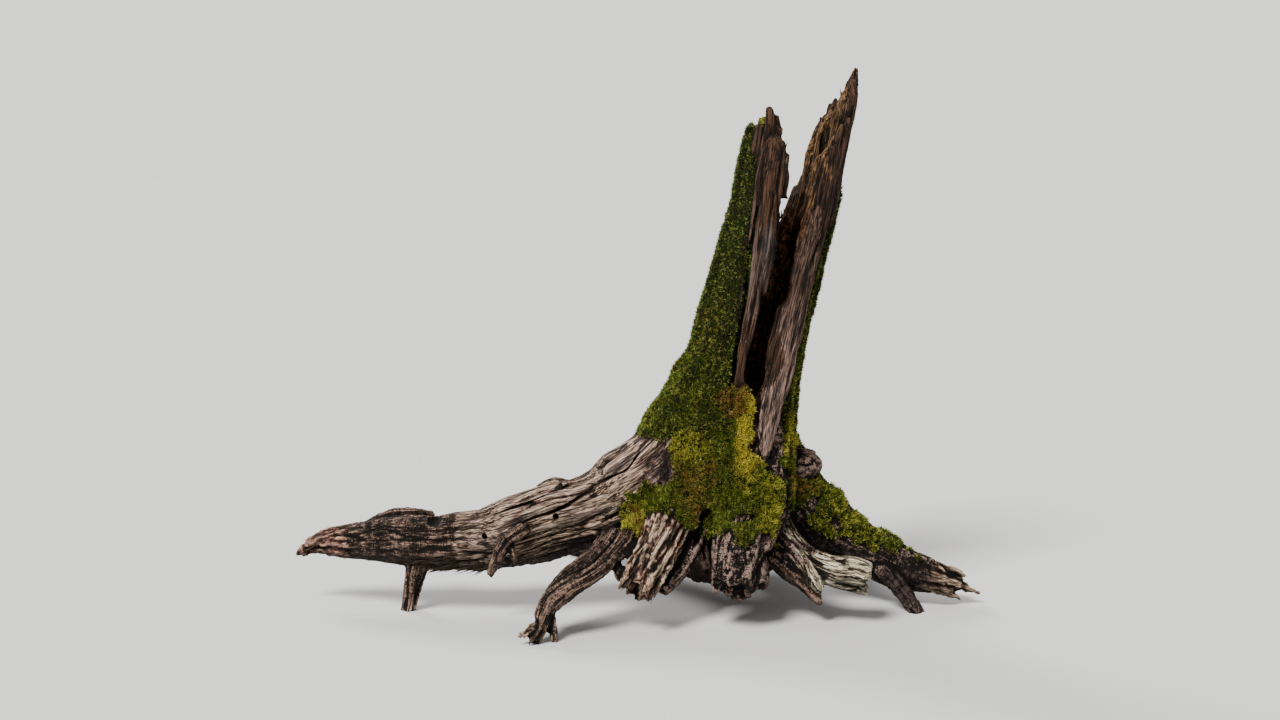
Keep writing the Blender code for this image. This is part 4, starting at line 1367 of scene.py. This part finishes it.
class OldWood(Shader):
    """Old wood: brown, bleached or split, with bark, pale breaks, rot and a green ground of moss.

    Each coat has a shade for its furrows, one for its body and one for its ridges. Hollows of the relief get
    painted shade and its ridges a painted highlight.
    """

    BROWN = ((0.004, 0.002, 0.001), (0.019, 0.008, 0.004), (0.098, 0.048, 0.025))
    BLEACHED = ((0.009, 0.005, 0.003), (0.108, 0.060, 0.040), (0.660, 0.450, 0.340))
    BEIGE = ((0.009, 0.005, 0.003), (0.108, 0.064, 0.037), (0.580, 0.415, 0.280))
    AGED = ((0.005, 0.003, 0.002), (0.025, 0.013, 0.008), (0.130, 0.074, 0.050))
    SPLIT = ((0.014, 0.008, 0.006), (0.105, 0.065, 0.047), (0.420, 0.275, 0.220))
    BARK = ((0.004, 0.002, 0.002), (0.036, 0.020, 0.015), (0.400, 0.268, 0.210))
    PALE = ((0.010, 0.006, 0.003), (0.140, 0.095, 0.056), (0.800, 0.690, 0.490))
    SHREDDED = ((0.005, 0.003, 0.002), (0.090, 0.046, 0.027), (0.740, 0.540, 0.370))
    SALMON = ((0.006, 0.003, 0.002), (0.135, 0.056, 0.033), (0.640, 0.370, 0.260))
    REDDISH = ((0.003, 0.002, 0.001), (0.030, 0.015, 0.010), (0.320, 0.200, 0.145))
    KNOB = ((0.020, 0.012, 0.010), (0.150, 0.092, 0.072), (0.420, 0.280, 0.230))
    ROT = ((0.008, 0.004, 0.003), (0.055, 0.027, 0.015), (0.420, 0.180, 0.055))
    OCHRE = ((0.006, 0.003, 0.002), (0.044, 0.023, 0.010), (0.280, 0.150, 0.060))
    # The colour of painted shade under the wood and between its roots
    PAINTED_SHADE = (0.006, 0.004, 0.003)
    SILVER = (0.210, 0.190, 0.180)
    # Dark cracks, and painted shade in hollows and creases
    CRACK_AND_SHADE = (0.008, 0.005, 0.004)
    MOSS_GROUND = (0.014, 0.014, 0.004)
    BUMP = 0.0045            # metres of relief from the finest grain

    def __init__(self) -> None:
        """Sets out the patterns that several coats share."""
        super().__init__(WOOD_SLOT, 0.88, 0.2)
        self.grain = self.attribute("grain", "Vector")
        self.run = self.drawn_out(self.grain, 0.05)
        self.height = self.axis(self.place, 2)
        self.cavity = self.attribute("cavity")
        self.fibre = self.noise(self.run, 350, 3, 0.70)
        self.streak = self.noise(self.drawn_out(self.grain, 0.03), 150, 4, 0.68)
        self.blotch = self.noise(self.place, 13, 5, 0.6)
        self.scaly = self.noise(self.drawn_out(self.grain, 0.20), 100, 6, 0.72)
        self.knobbly = self.noise(self.place, 300, 3, 0.75)
        self.light = self.fibre * 3.5 - 2.62 + self.streak * 1.7 + self.blotch * 1.1
        # Painted shade and highlight: darker in hollows of the relief, lighter on its ridges
        self.light = self.light - (self.cavity * 1.3 - 0.65)
        fleck = self.noise(self.place, 150, 4, 0.65)
        frayed = self.noise(self.run, 60, 4, 0.6) * 2.2 + (fleck * 1.4 - 0.8)
        self.ragged = self.math("MINIMUM", self.larger(frayed, 0.62), 1.38)

    def shade(self, light: Wire, shades: tuple) -> Wire:
        """A coat's colour at that lightness, from its furrows to its ridges."""
        low = self.mixed(self.step(light, 0.0, 0.5), shades[0], shades[1])
        return self.mixed(self.step(light, 0.45, 1.0), low, shades[2])

    def laid(self, name: str, under: Wire, over: Wire) -> Wire:
        """A coat laid over a colour, with an edge broken up along the grain.

        Args:
            name: the number that gives the coat's share.
            under: the colour below.
            over: the coat's colour.

        Returns:
            The colour of both.
        """
        share = self.attribute(name) + (self.ragged - 1.0)
        return self.mixed(self.step(share, 0.34, 0.66), under, over)

    def bare_wood(self) -> Wire:
        """Brown wood, bleached wood that turns beige in places, and planks that darken upwards."""
        beige = self.step(self.noise(self.place, 7, 3), 0.42, 0.62)
        warm = self.mixed(beige, self.shade(self.light, self.BLEACHED), self.shade(self.light, self.BEIGE))
        aged = self.step(self.height, 0.48, 0.80)
        plank = self.mixed(aged, self.shade(self.light, self.SPLIT), self.shade(self.light, self.AGED))
        colour = self.laid("bleached", self.shade(self.light, self.BROWN), warm)
        colour = self.laid("split", colour, plank)
        silvered = self.step(self.noise(self.run, 45, 3), 0.52, 0.68) * 0.30
        silvered = silvered * self.larger(self.attribute("bleached"), self.attribute("split"))
        return self.mixed(silvered, colour, self.SILVER)

    def barked(self, colour: Wire) -> Wire:
        """The colour with scaly bark, reddish bark, knobs and pale breaks laid over it."""
        rings = self.noise(self.drawn_out(self.grain, 1.5, 0.40), 85, 4, 0.65)
        creased = self.step(abs(rings - 0.5), 0.040, 0.008)
        light = self.scaly * 2.9 - 2.92 + self.fibre * 1.5 + self.knobbly * 2.1
        # Painted shade in hollows of the relief and painted highlight on its ridges, with the bark's creases
        light = light + (self.blotch * 1.2 - 0.6) - (self.cavity * 1.9 - 0.95) - creased * 0.65
        light = light * 1.6 - 0.24
        mingled = self.light * 0.5 + light * 0.5 - creased * 0.25
        colour = self.laid("bark", colour, self.shade(light, self.BARK))
        colour = self.laid("reddish", colour, self.shade(mingled, self.REDDISH))
        colour = self.laid("knob", colour, self.shade(mingled, self.KNOB))
        return self.laid("pale", colour, self.shade(self.light * 1.9 - 0.60, self.PALE))

    def rotted(self, colour: Wire) -> Wire:
        """The colour with rot laid over it, dark and ember-flecked, and dry and ochre near the crown. Lower
        in the hollow the dark is partly painted shade.
        """
        embers = self.noise(self.place, 55, 5, 0.7) + self.streak * 0.4
        rotten = self.shade(self.step(embers, 0.50, 0.88), self.ROT)
        dry = self.shade(self.light, self.OCHRE)
        # Darker lower in the hollow, partly painted shade
        return self.laid("rot", colour, self.mixed(self.step(self.height, 0.86, 1.04), rotten, dry))

    def cracks(self) -> Wire:
        """The share of checks and hairline cracks, which bark hasn't."""
        checks = self.step(self.cells(self.drawn_out(self.grain, 0.06), 70), 0.0, 0.08, 1.0, 0.0)
        checks = checks * self.step(self.noise(self.run, 30), 0.42, 0.58)
        hairline = self.step(self.cells(self.drawn_out(self.grain, 0.04), 190), 0.0, 0.11, 1.0, 0.0)
        hairline = hairline * self.step(self.streak, 0.64, 0.46) * 0.8
        return self.larger(checks, hairline) * self.math("SUBTRACT", 1.0, self.attribute("bark"))

    def build(self) -> bpy.types.Material:
        """The wood's material."""
        colour = self.barked(self.bare_wood())
        torn = self.larger(self.attribute("shredded"), self.attribute("torn"))
        torn = self.step(torn + (self.ragged - 1.0), 0.42, 0.58)
        shreds = self.noise(self.torn_strands(self.grain, self.place), 85, 5, 0.7) * 4.2 - 1.62
        # Painted shade in the hollows of torn wood and painted highlight on its ridges
        shreds = shreds + (self.fibre * 0.8 - 0.4) - (self.cavity * 1.6 - 0.8)
        tawny = self.step(self.noise(self.place, 26, 3), 0.50, 0.60) * 0.75
        tawny = self.larger(self.step(self.axis(self.place, 0), -0.66, -0.70), tawny)
        shades = self.mixed(tawny, self.shade(shreds, self.SHREDDED), self.shade(shreds, self.SALMON))
        cracked = self.cracks()
        colour = self.rotted(self.mixed(torn, colour, shades))
        for share, over in (
            (cracked * 0.9, self.CRACK_AND_SHADE),
            # Painted shade: the deepest hollows of the relief in the dark crack colour
            (self.step(self.cavity, 0.55, 0.92) * 0.85, self.CRACK_AND_SHADE),
            # Painted shade along the crease where two limbs meet
            (self.attribute("seam") * 0.85, self.CRACK_AND_SHADE),
            # Painted shade on undersides and between the roots
            (self.attribute("painted_shade") * 0.78, self.PAINTED_SHADE),
            (self.step(self.attribute("moss"), 0.3, 0.6), self.MOSS_GROUND),
        ):
            colour = self.mixed(share, colour, over)
        relief = self.fibre * 0.8 + self.streak * 0.9 - cracked * 1.3
        relief = relief + self.attribute("bark") * ((self.scaly + self.knobbly) * 1.5) + torn * (shreds * 0.5)
        return self.finish(colour, relief, self.BUMP)


class LivingMoss(Shader):
    """Living moss: dark at its foot, green to yellow at its tips, orange brown where it dried."""

    FOOT = (0.006, 0.008, 0.002)
    GREEN = (0.034, 0.072, 0.006)
    OLIVE = (0.215, 0.275, 0.018)
    YELLOW = (0.930, 0.790, 0.090)
    RUST = (0.230, 0.105, 0.030)
    DRIED = (0.430, 0.220, 0.045)
    TIP = (0.740, 0.760, 0.180)

    def build(self) -> bpy.types.Material:
        """The moss's material."""
        tint = self.attribute("tint")
        high = self.step(self.axis(self.place, 2), 0.50, 1.00, 0.0, 0.48)
        mood = tint * 0.8 + self.noise(self.place, 20, 3, 0.6) * 0.8 - high
        sunny = self.attribute("yellow") + (mood * 0.9 - 0.75)
        rusty = self.step(tint, 0.50, 0.62) * self.step(tint, 0.74, 0.62)
        rusty = rusty * self.step(self.noise(self.place, 26, 4, 0.7), 0.42, 0.62)
        dry = self.attribute("dried") + (tint * 0.8 - 0.4) + (self.noise(self.place, 35) * 1.2 - 0.72)
        colour = self.mixed(self.step(mood, 0.4, 1.15), self.GREEN, self.OLIVE)
        for share, over in (
            (self.step(sunny, 0.10, 0.85), self.YELLOW),
            (rusty, self.RUST),
            (self.step(dry, 0.3, 1.0), self.DRIED),
            (self.step(tint, 0.40, 0.0) * 0.8, self.FOOT),
            (self.step(tint, 0.72, 1.0) * 0.55, self.TIP),
        ):
            colour = self.mixed(share, colour, over)
        return self.finish(self.mixed(self.step(self.attribute("tip"), 0.1, 1.0), self.FOOT, colour))


class Weathering(Growth):
    """Wears the surface of the wood: furrows along the grain, bark plates, crumbled rot, moss cushions."""

    NUMBERS = {
        "Fibre Depth": 0.0065,
        "Furrow Depth": 0.0085,
        "Bark Depth": 0.0060,
        "Rot Depth": 0.0130,
        "Torn Depth": 0.0450,
        "Seam Depth": 0.0040,
        "Moss Lift": 0.0020,
        "Moss Lumps": 0.0130,
    }

    def __init__(self, material: bpy.types.Material) -> None:
        """Builds the tree, which gives the wood that material."""
        super().__init__("weathering", self.NUMBERS, 0)
        grain = self.attribute("grain", "FLOAT_VECTOR")
        run = self.drawn_out(grain, 0.07)
        fibre = self.noise(run, 62, 3, 0.55) - 0.5
        furrow = self.step(self.cells(self.drawn_out(grain, 0.10), 42), 0.0, 0.16, -1.0, 0.0)
        broken = self.step(self.noise(run, 24, 1), 0.42, 0.62)
        ridged = abs(self.noise(self.drawn_out(grain, 0.28), 42, 4, 0.65) - 0.5) * 3.2
        knobs = (self.noise(self.place, 75, 4, 0.7) - 0.5) * 2.2
        plates = ridged + knobs + 0.3
        shreds = self.noise(self.torn_strands(grain, self.place), 46, 3, 0.6) - 0.55
        torn = self.larger(self.attribute("shredded"), self.attribute("torn"))
        crumbs = self.noise(self.place, 46, 4, 0.6) - 0.5
        lumps = self.noise(self.place, 48, 3, 0.6) - 0.42
        moss = self.step(self.attribute("moss"), 0.2, 0.7)
        wood = self.math("SUBTRACT", 1.0, moss)
        bark = self.larger(self.attribute("bark"), self.attribute("reddish") * 0.6)
        bare = wood * self.math("SUBTRACT", 1.0, bark * 0.6)
        height = self.worn(fibre, "Fibre Depth", bare * 2.0)
        height = height + self.worn(furrow * broken, "Furrow Depth", bare)
        height = height + self.worn(plates - 0.6, "Bark Depth", bark * wood)
        height = height + self.worn(crumbs, "Rot Depth", self.attribute("rot"))
        height = height + self.worn(shreds, "Torn Depth", torn * wood)
        height = height + self.given("Seam Depth") * (self.attribute("seam") * -1.0)
        height = height + self.worn(lumps, "Moss Lumps", moss)
        height = height + self.given("Moss Lift") * moss
        offset = self.scaled(self.add("GeometryNodeInputNormal"), height)
        inputs = {"Geometry": self.given("Geometry"), "Offset": offset}
        self.close(self.add("GeometryNodeSetPosition", inputs), material)

    def worn(self, pattern: Wire, depth: str, share: Wire) -> Wire:
        """A pattern at the depth that the tree is given, where the share lets it."""
        return pattern * self.given(depth) * share


class Sprouts(Growth):
    """Slim cones scattered over a surface, each turned and sized at random."""

    def scattered(self, share: Wire) -> Wire:
        """Points on the surface, each with a tint: the tree's density times the share."""
        inputs = {
            "Mesh": self.given("Geometry"),
            "Density": self.given("Density") * share,
            "Seed": self.given("Seed"),
        }
        points = self.add("GeometryNodeDistributePointsOnFaces", inputs, "Points")
        self.normal = points.beside("Normal")
        return self.stored(points, "tint", self.random(0.0, 1.0, 1))

    def cone(self, sides: int) -> Wire:
        """An upright cone that knows how far up it each of its points is."""
        inputs = {
            "Vertices": sides,
            "Side Segments": 1,
            "Radius Top": 0.0,
            "Radius Bottom": self.given("Radius"),
            "Depth": self.given("Length"),
        }
        cone = self.add("GeometryNodeMeshCone", inputs, "Mesh", fill_type="NGON")
        return self.stored(cone, "tip", self.axis(self.place, 2) / self.given("Length"))

    def swing(self, reach: float) -> Wire:
        """A random push of up to the reach along each axis."""
        return self.add("ShaderNodeCombineXYZ", {i: self.random(-reach, reach, 2 + i) for i in range(3)})

    def facing(self, way: Wire, push: Wire) -> Wire:
        """The turn that points a cone that way, pushed aside."""
        inputs = {"Factor": 1.0, "Vector": self.vector("ADD", way, push)}
        return self.add("FunctionNodeAlignEulerToVector", inputs, axis="Z")

    def plant(self, points: Wire, shape: Wire, turn: Wire, size: Wire, material: bpy.types.Material) -> None:
        """Ends the tree with the shape on every point, turned and sized."""
        inputs = {"Points": points, "Instance": shape, "Rotation": turn, "Scale": size}
        self.close(self.add("GeometryNodeInstanceOnPoints", inputs), material)


class Shoots(Sprouts):
    """Tufts of moss shoots on the surface, upright on it and leaning about."""

    LIGHTWARDS = (0.0, -0.1, 0.35)
    SINK = (0.0, 0.0, -0.0012)
    TUFT = ((0.25, 0.0, 1.0), (0.50, 2.2, 0.8), (0.65, 4.3, 0.7))      # lean, turn, size

    def __init__(
        self,
        bed: str,
        density: float,
        size: tuple[float, float],
        material: bpy.types.Material,
    ) -> None:
        """Builds the tree.

        Args:
            bed: the number that says where the bed grows.
            density: tufts for each square metre of full moss.
            size: length and radius of a shoot.
            material: the moss.
        """
        numbers = {"Density": density, "Length": size[0], "Radius": size[1], "Lean": 0.55}
        super().__init__(f"{bed}_shoots", numbers, 7)
        points = self.scattered(self.step(self.attribute(bed), *MOSS_EDGE))
        push = self.scaled(self.swing(1.0), self.given("Lean"))
        facing = self.facing(self.vector("ADD", self.normal, self.LIGHTWARDS), push)
        inputs = {"Rotation": facing, "Angle": self.random(0.0, math.tau, 5)}
        spun = self.add("FunctionNodeRotateEuler", inputs, rotation_type="AXIS_ANGLE", space="LOCAL")
        self.plant(points, self.tuft(), spun, self.random(0.45, 1.35, 6), material)

    def tuft(self) -> Wire:
        """Three slim shoots that lean away from each other."""
        shoot = self.cone(3)
        join = self.tree.nodes.new("GeometryNodeJoinGeometry")
        for lean, turn, size in self.TUFT:
            inputs = {
                "Geometry": shoot,
                "Translation": self.SINK,
                "Rotation": (lean, 0.0, turn),
                "Scale": (size, size, size),
            }
            self.put(self.add("GeometryNodeTransform", inputs), join.inputs[0])
        return Wire(self, join.outputs[0])


class Shards(Sprouts):
    """Splinters that stand out of torn wood along its grain."""

    OUTWARDS = 0.22
    SINK = (0.0, 0.0, -0.003)
    SWING = 0.2
    CLEAR = (0.045, 0.060)           # heights between which splinters begin, above the floor
    WIDTHS = ((0.5, 1.4, 6), (0.4, 1.0, 7), (0.4, 1.5, 8))             # least, most and key for each axis

    def __init__(
        self,
        masks: tuple[str, ...],
        density: float,
        size: tuple[float, float],
        material: bpy.types.Material,
    ) -> None:
        """Builds the tree.

        Args:
            masks: the numbers that say where the wood is torn.
            density: splinters for each square metre.
            size: length and radius of a splinter.
            material: their finish.
        """
        super().__init__("shards", {"Density": density, "Length": size[0], "Radius": size[1]}, 3)
        share = self.attribute(masks[0])
        for mask in masks[1:]:
            share = self.larger(share, self.attribute(mask))
        share = share * self.step(self.axis(self.place, 2), *self.CLEAR)
        points = self.scattered(self.step(share, 0.25, 1.0))
        run = self.attribute("run", "FLOAT_VECTOR")
        way = self.vector("ADD", run, self.scaled(self.normal, self.OUTWARDS))
        inputs = {"Geometry": self.cone(4), "Translation": self.SINK}
        sunk = self.add("GeometryNodeTransform", inputs)
        widths = {i: self.random(*row) for i, row in enumerate(self.WIDTHS)}
        size = self.add("ShaderNodeCombineXYZ", widths)
        self.plant(points, sunk, self.facing(way, self.swing(self.SWING)), size, material)


class WoodBody:
    """The one body of wood: trunk, roots and torn ends."""

    CLEFT_NOISE = (40, 9, 30)
    CLEFT_NOISE_APART = 5

    def fused(self) -> bpy.types.Object:
        """Every limb and strip grown into one skin."""
        solids = [LoftedLimb(limb, number).rings() for number, limb in enumerate(LIMBS)]
        limbs = lofted_object("limbs", solids + TrunkWall().solids())
        fuse = limbs.modifiers.new("fuse", "REMESH")
        fuse.mode = "VOXEL"
        fuse.voxel_size = VOXEL
        soften = limbs.modifiers.new("soften", "SMOOTH")
        soften.factor = 0.5
        soften.iterations = SMOOTH_PASSES
        return plain_mesh(limbs, "fused_wood")

    def cleft_rings(self, cleft: Cleft, number: int) -> list[list[Vector]]:
        """The rings of the solid that cuts a cleft, with ragged sides."""
        across, inward, up = self.CLEFT_NOISE
        rings = []
        for left, right, height, _ in smooth_path([(a, b, z, 0) for a, b, z in cleft.edges], RING_STEP):
            corners = ((left, cleft.front), (right, cleft.front), (right, cleft.back), (left, cleft.back))
            ring = []
            for edge, y in corners:
                place = Vector((edge * across, number * self.CLEFT_NOISE_APART + y * inward, height * up))
                ring.append(Vector((edge + noise.noise(place) * CLEFT_RAGGEDNESS, y, height)))
            rings.append(ring)
        return rings

    def opened(self, wood: bpy.types.Object) -> bpy.types.Object:
        """The wood with its hollow, clefts and holes cut."""
        cutters = {"hollow": LoftedLimb(HOLLOW, 0).rings()}
        cutters |= {cleft.name: self.cleft_rings(cleft, n) for n, cleft in enumerate(CLEFTS)}
        cutters |= {limb.name: LoftedLimb(limb, n).rings() for n, limb in enumerate(HOLES)}
        solids = [lofted_object(name, [rings]) for name, rings in cutters.items()]
        for solid in solids:
            boolean = wood.modifiers.new(solid.name, "BOOLEAN")
            boolean.operation = "DIFFERENCE"
            boolean.solver = "MANIFOLD"
            boolean.object = solid
        wood = plain_mesh(wood, "opened_wood")
        for solid in solids:
            bpy.data.objects.remove(solid)
        return wood

    def largest_body(self, mesh: bpy.types.Mesh) -> None:
        """Drops every loose scrap and sealed pocket."""
        bm = bmesh.new()
        bm.from_mesh(mesh)
        waiting = set(bm.verts)
        bodies = []
        while waiting:
            front = [waiting.pop()]
            body = list(front)
            while front:
                near = {edge.other_vert(vert) for vert in front for edge in vert.link_edges}
                front = list(near & waiting)
                waiting -= near
                body += front
            bodies.append(body)
        bodies.sort(key=len)
        bmesh.ops.delete(bm, geom=[vert for body in bodies[:-1] for vert in body], context="VERTS")
        bm.to_mesh(mesh)
        bm.free()

    def grounded(self, mesh: bpy.types.Mesh) -> None:
        """Presses every point below the floor up onto it, and moves the wood to its place."""
        for vert in mesh.vertices:
            vert.co.z = max(vert.co.z, 0.0)
            vert.co += FOOT

    def build(self) -> bpy.types.Object:
        """The finished wood, in its place in the frame."""
        wood = self.fused()
        self.largest_body(wood.data)
        wood = self.opened(wood)
        field = GrainField()
        surface = StumpSurface(wood.data, field)
        surface.store_grain()
        surface.store_looks()
        LOG.info("wood before wear: %d points", len(wood.data.vertices))
        wood = Weathering(OldWood().build()).grow(wood, "worn_wood")
        wood.data.calc_loop_triangles()
        thin = wood.modifiers.new("thin", "DECIMATE")
        thin.ratio = min(1.0, WOOD_TRIANGLES / len(wood.data.loop_triangles))
        wood = plain_mesh(wood, "stump_wood")
        StumpSurface(wood.data, field).store_hollows()
        self.grounded(wood.data)
        wood.data.shade_smooth()
        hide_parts(NODE_NAME)
        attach(wood, BODY_NAME)
        return wood


@dataclass
class MossBed:
    """A bed of moss: how its shoots stand, and how many triangles it may take."""

    name: str
    mask: str
    triangles: int = 186000
    length: float = 0.0100
    radius: float = 0.0019

    TUFT_TRIANGLES = 12

    def area(self, mesh: bpy.types.Mesh) -> float:
        """The square metres of full moss in the bed."""
        share = np.zeros(len(mesh.vertices))
        mesh.attributes[self.mask].data.foreach_get("value", share)
        share = smoothstep(*MOSS_EDGE, share)
        mesh.calc_loop_triangles()
        corners = np.zeros(len(mesh.loop_triangles) * 3, dtype=np.int64)
        mesh.loop_triangles.foreach_get("vertices", corners)
        areas = np.zeros(len(mesh.loop_triangles))
        mesh.loop_triangles.foreach_get("area", areas)
        return float((areas * share[corners.reshape(-1, 3)].mean(axis=1)).sum())

    def build(self, wood: bpy.types.Object) -> bpy.types.Object:
        """The bed's shoots on the wood."""
        density = self.triangles / self.TUFT_TRIANGLES / self.area(wood.data)
        material = LivingMoss(self.name, 0.8, 0.15).build()
        tree = Shoots(self.mask, density, (self.length, self.radius), material)
        moss = tree.grow(new_object(self.name, wood.data.copy()), self.name)
        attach(moss, BODY_NAME)
        return moss


@dataclass
class TornFibres:
    """Splinters round the crown and at the torn ends of the roots, or rootlets under one.

    They are foot-coloured at the foot and tip-coloured at the tip.
    """

    name: str = "torn_fibres"
    masks: tuple = ("torn", "rim")
    density: float = 2600.0
    size: tuple = (0.018, 0.0028)
    foot: tuple = (0.060, 0.036, 0.024)
    tip: tuple = (0.400, 0.300, 0.215)

    def material(self) -> bpy.types.Material:
        """The fibres' material."""
        shader = Shader(self.name, 0.85, 0.2)
        share = shader.attribute("tip") * (shader.attribute("tint") * 0.8 + 0.1)
        speck = shader.noise(shader.place, 300) * 0.5
        return shader.finish(shader.mixed(speck, shader.mixed(share, self.foot, self.tip), self.foot))

    def build(self, wood: bpy.types.Object) -> bpy.types.Object:
        """The splinters on the wood."""
        tree = Shards(self.masks, self.density, self.size, self.material())
        fibres = tree.grow(new_object(self.name, wood.data.copy()), self.name)
        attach(fibres, BODY_NAME)
        return fibres


@dataclass
class Studio:
    """The pale floor, the soft lights and the camera."""

    floor_half: float = 400.0
    floor_colour: tuple = (0.78, 0.77, 0.75)
    lens: float = 60.0
    sensor: float = 36.0
    distance: float = 5.2267         # from the trunk's foot
    elevation: float = math.radians(10)
    scale: float = 0.00245           # metres a pixel at the trunk's foot
    foot_pixel: tuple = (745, 603)
    middle_pixel: tuple = (640, 360)

    def floor(self) -> None:
        """The floor."""
        shader = Shader("studio_floor", 0.9, 0.2)
        darker = tuple(0.97 * value for value in self.floor_colour)
        colour = shader.mixed(shader.noise(shader.place, 3), self.floor_colour, darker)
        half = self.floor_half
        mesh = bpy.data.meshes.new("floor")
        corners = [(-half, -half, 0), (half, -half, 0), (half, half, 0), (-half, half, 0)]
        mesh.from_pydata(corners, [], [(0, 1, 2, 3)])
        mesh.materials.append(shader.finish(colour))
        floor = new_object("floor", mesh)

    def sun(self, name: str, bearing: float, height: float, spread: float, power: float) -> None:
        """A large soft light far off, so that it falls evenly on the floor.

        Args:
            name: the light's name.
            bearing: where it stands round the stump, in degrees from the front towards +X.
            height: its height above the floor, in degrees.
            spread: the angle that it fills, in degrees.
            power: its strength.
        """
        data = bpy.data.lights.new(name, "SUN")
        data.angle = math.radians(spread)
        data.energy = power
        lamp = bpy.data.objects.new(name, data)
        turn, rise = math.radians(bearing), math.radians(height)
        back = Vector((math.sin(turn) * math.cos(rise), -math.cos(turn) * math.cos(rise), math.sin(rise)))
        lamp.rotation_euler = back.to_track_quat("Z", "Y").to_euler()
        bpy.context.scene.collection.objects.link(lamp)

    def camera(self) -> None:
        """The camera, at the photograph's viewing angle."""
        data = bpy.data.cameras.new("camera")
        data.lens = self.lens
        data.sensor_width = self.sensor
        camera = bpy.data.objects.new("camera", data)
        ahead = Vector((0, math.cos(self.elevation), -math.sin(self.elevation)))
        right = Vector((1, 0, 0))
        up = right.cross(ahead)
        across = (self.foot_pixel[0] - self.middle_pixel[0]) * self.scale
        below = (self.foot_pixel[1] - self.middle_pixel[1]) * self.scale
        camera.location = FOOT - ahead * self.distance - right * across + up * below
        camera.rotation_euler = (math.pi / 2 - self.elevation, 0, 0)
        bpy.context.scene.collection.objects.link(camera)
        bpy.context.scene.camera = camera

    def build(self) -> None:
        """Sets up the whole studio."""
        self.floor()
        self.camera()
        self.sun("key", -38, 52, 20, 4.3)
        self.sun("rim", -142, 34, 20, 2.0)
        world = bpy.data.worlds.new("studio")
        bpy.context.scene.world = world
        world.use_nodes = True
        background = world.node_tree.nodes["Background"]
        background.inputs["Color"].default_value = (0.92, 0.92, 0.92, 1)
        background.inputs["Strength"].default_value = 0.47


def corners(box: tuple) -> list[list[float]]:
    """A box's two corners as plain lists."""
    return [[float(value) for value in corner] for corner in box]


def main() -> None:
    """Builds the stump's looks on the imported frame, and reports each piece."""
    logging.basicConfig(level=logging.INFO, format="%(message)s")
    noise.seed_set(NOISE_SEED)
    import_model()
    Studio().build()
    wood = WoodBody().build()
    LOG.info("%s: %d faces", wood.name, len(wood.data.polygons))
    rootlets = TornFibres(
        name="rootlets",
        masks=("fringe",),
        density=9000.0,
        size=(0.036, 0.0026),
        foot=(0.010, 0.006, 0.004),
        tip=(0.110, 0.070, 0.035),
    )
    growths = (
        MossBed("low_flank_moss", "moss_flank_low", length=0.0088, radius=0.0017),
        MossBed("high_flank_moss", "moss_flank_high", length=0.0080, radius=0.0016),
        MossBed("base_moss", "moss_base"),
        MossBed("root_moss", "moss_roots", triangles=150000),
        TornFibres(),
        rootlets,
    )
    for growth in growths:
        grown = growth.build(wood)
        LOG.info("%s: %d faces", grown.name, len(grown.data.polygons))


if __name__ == "__main__":
    main()
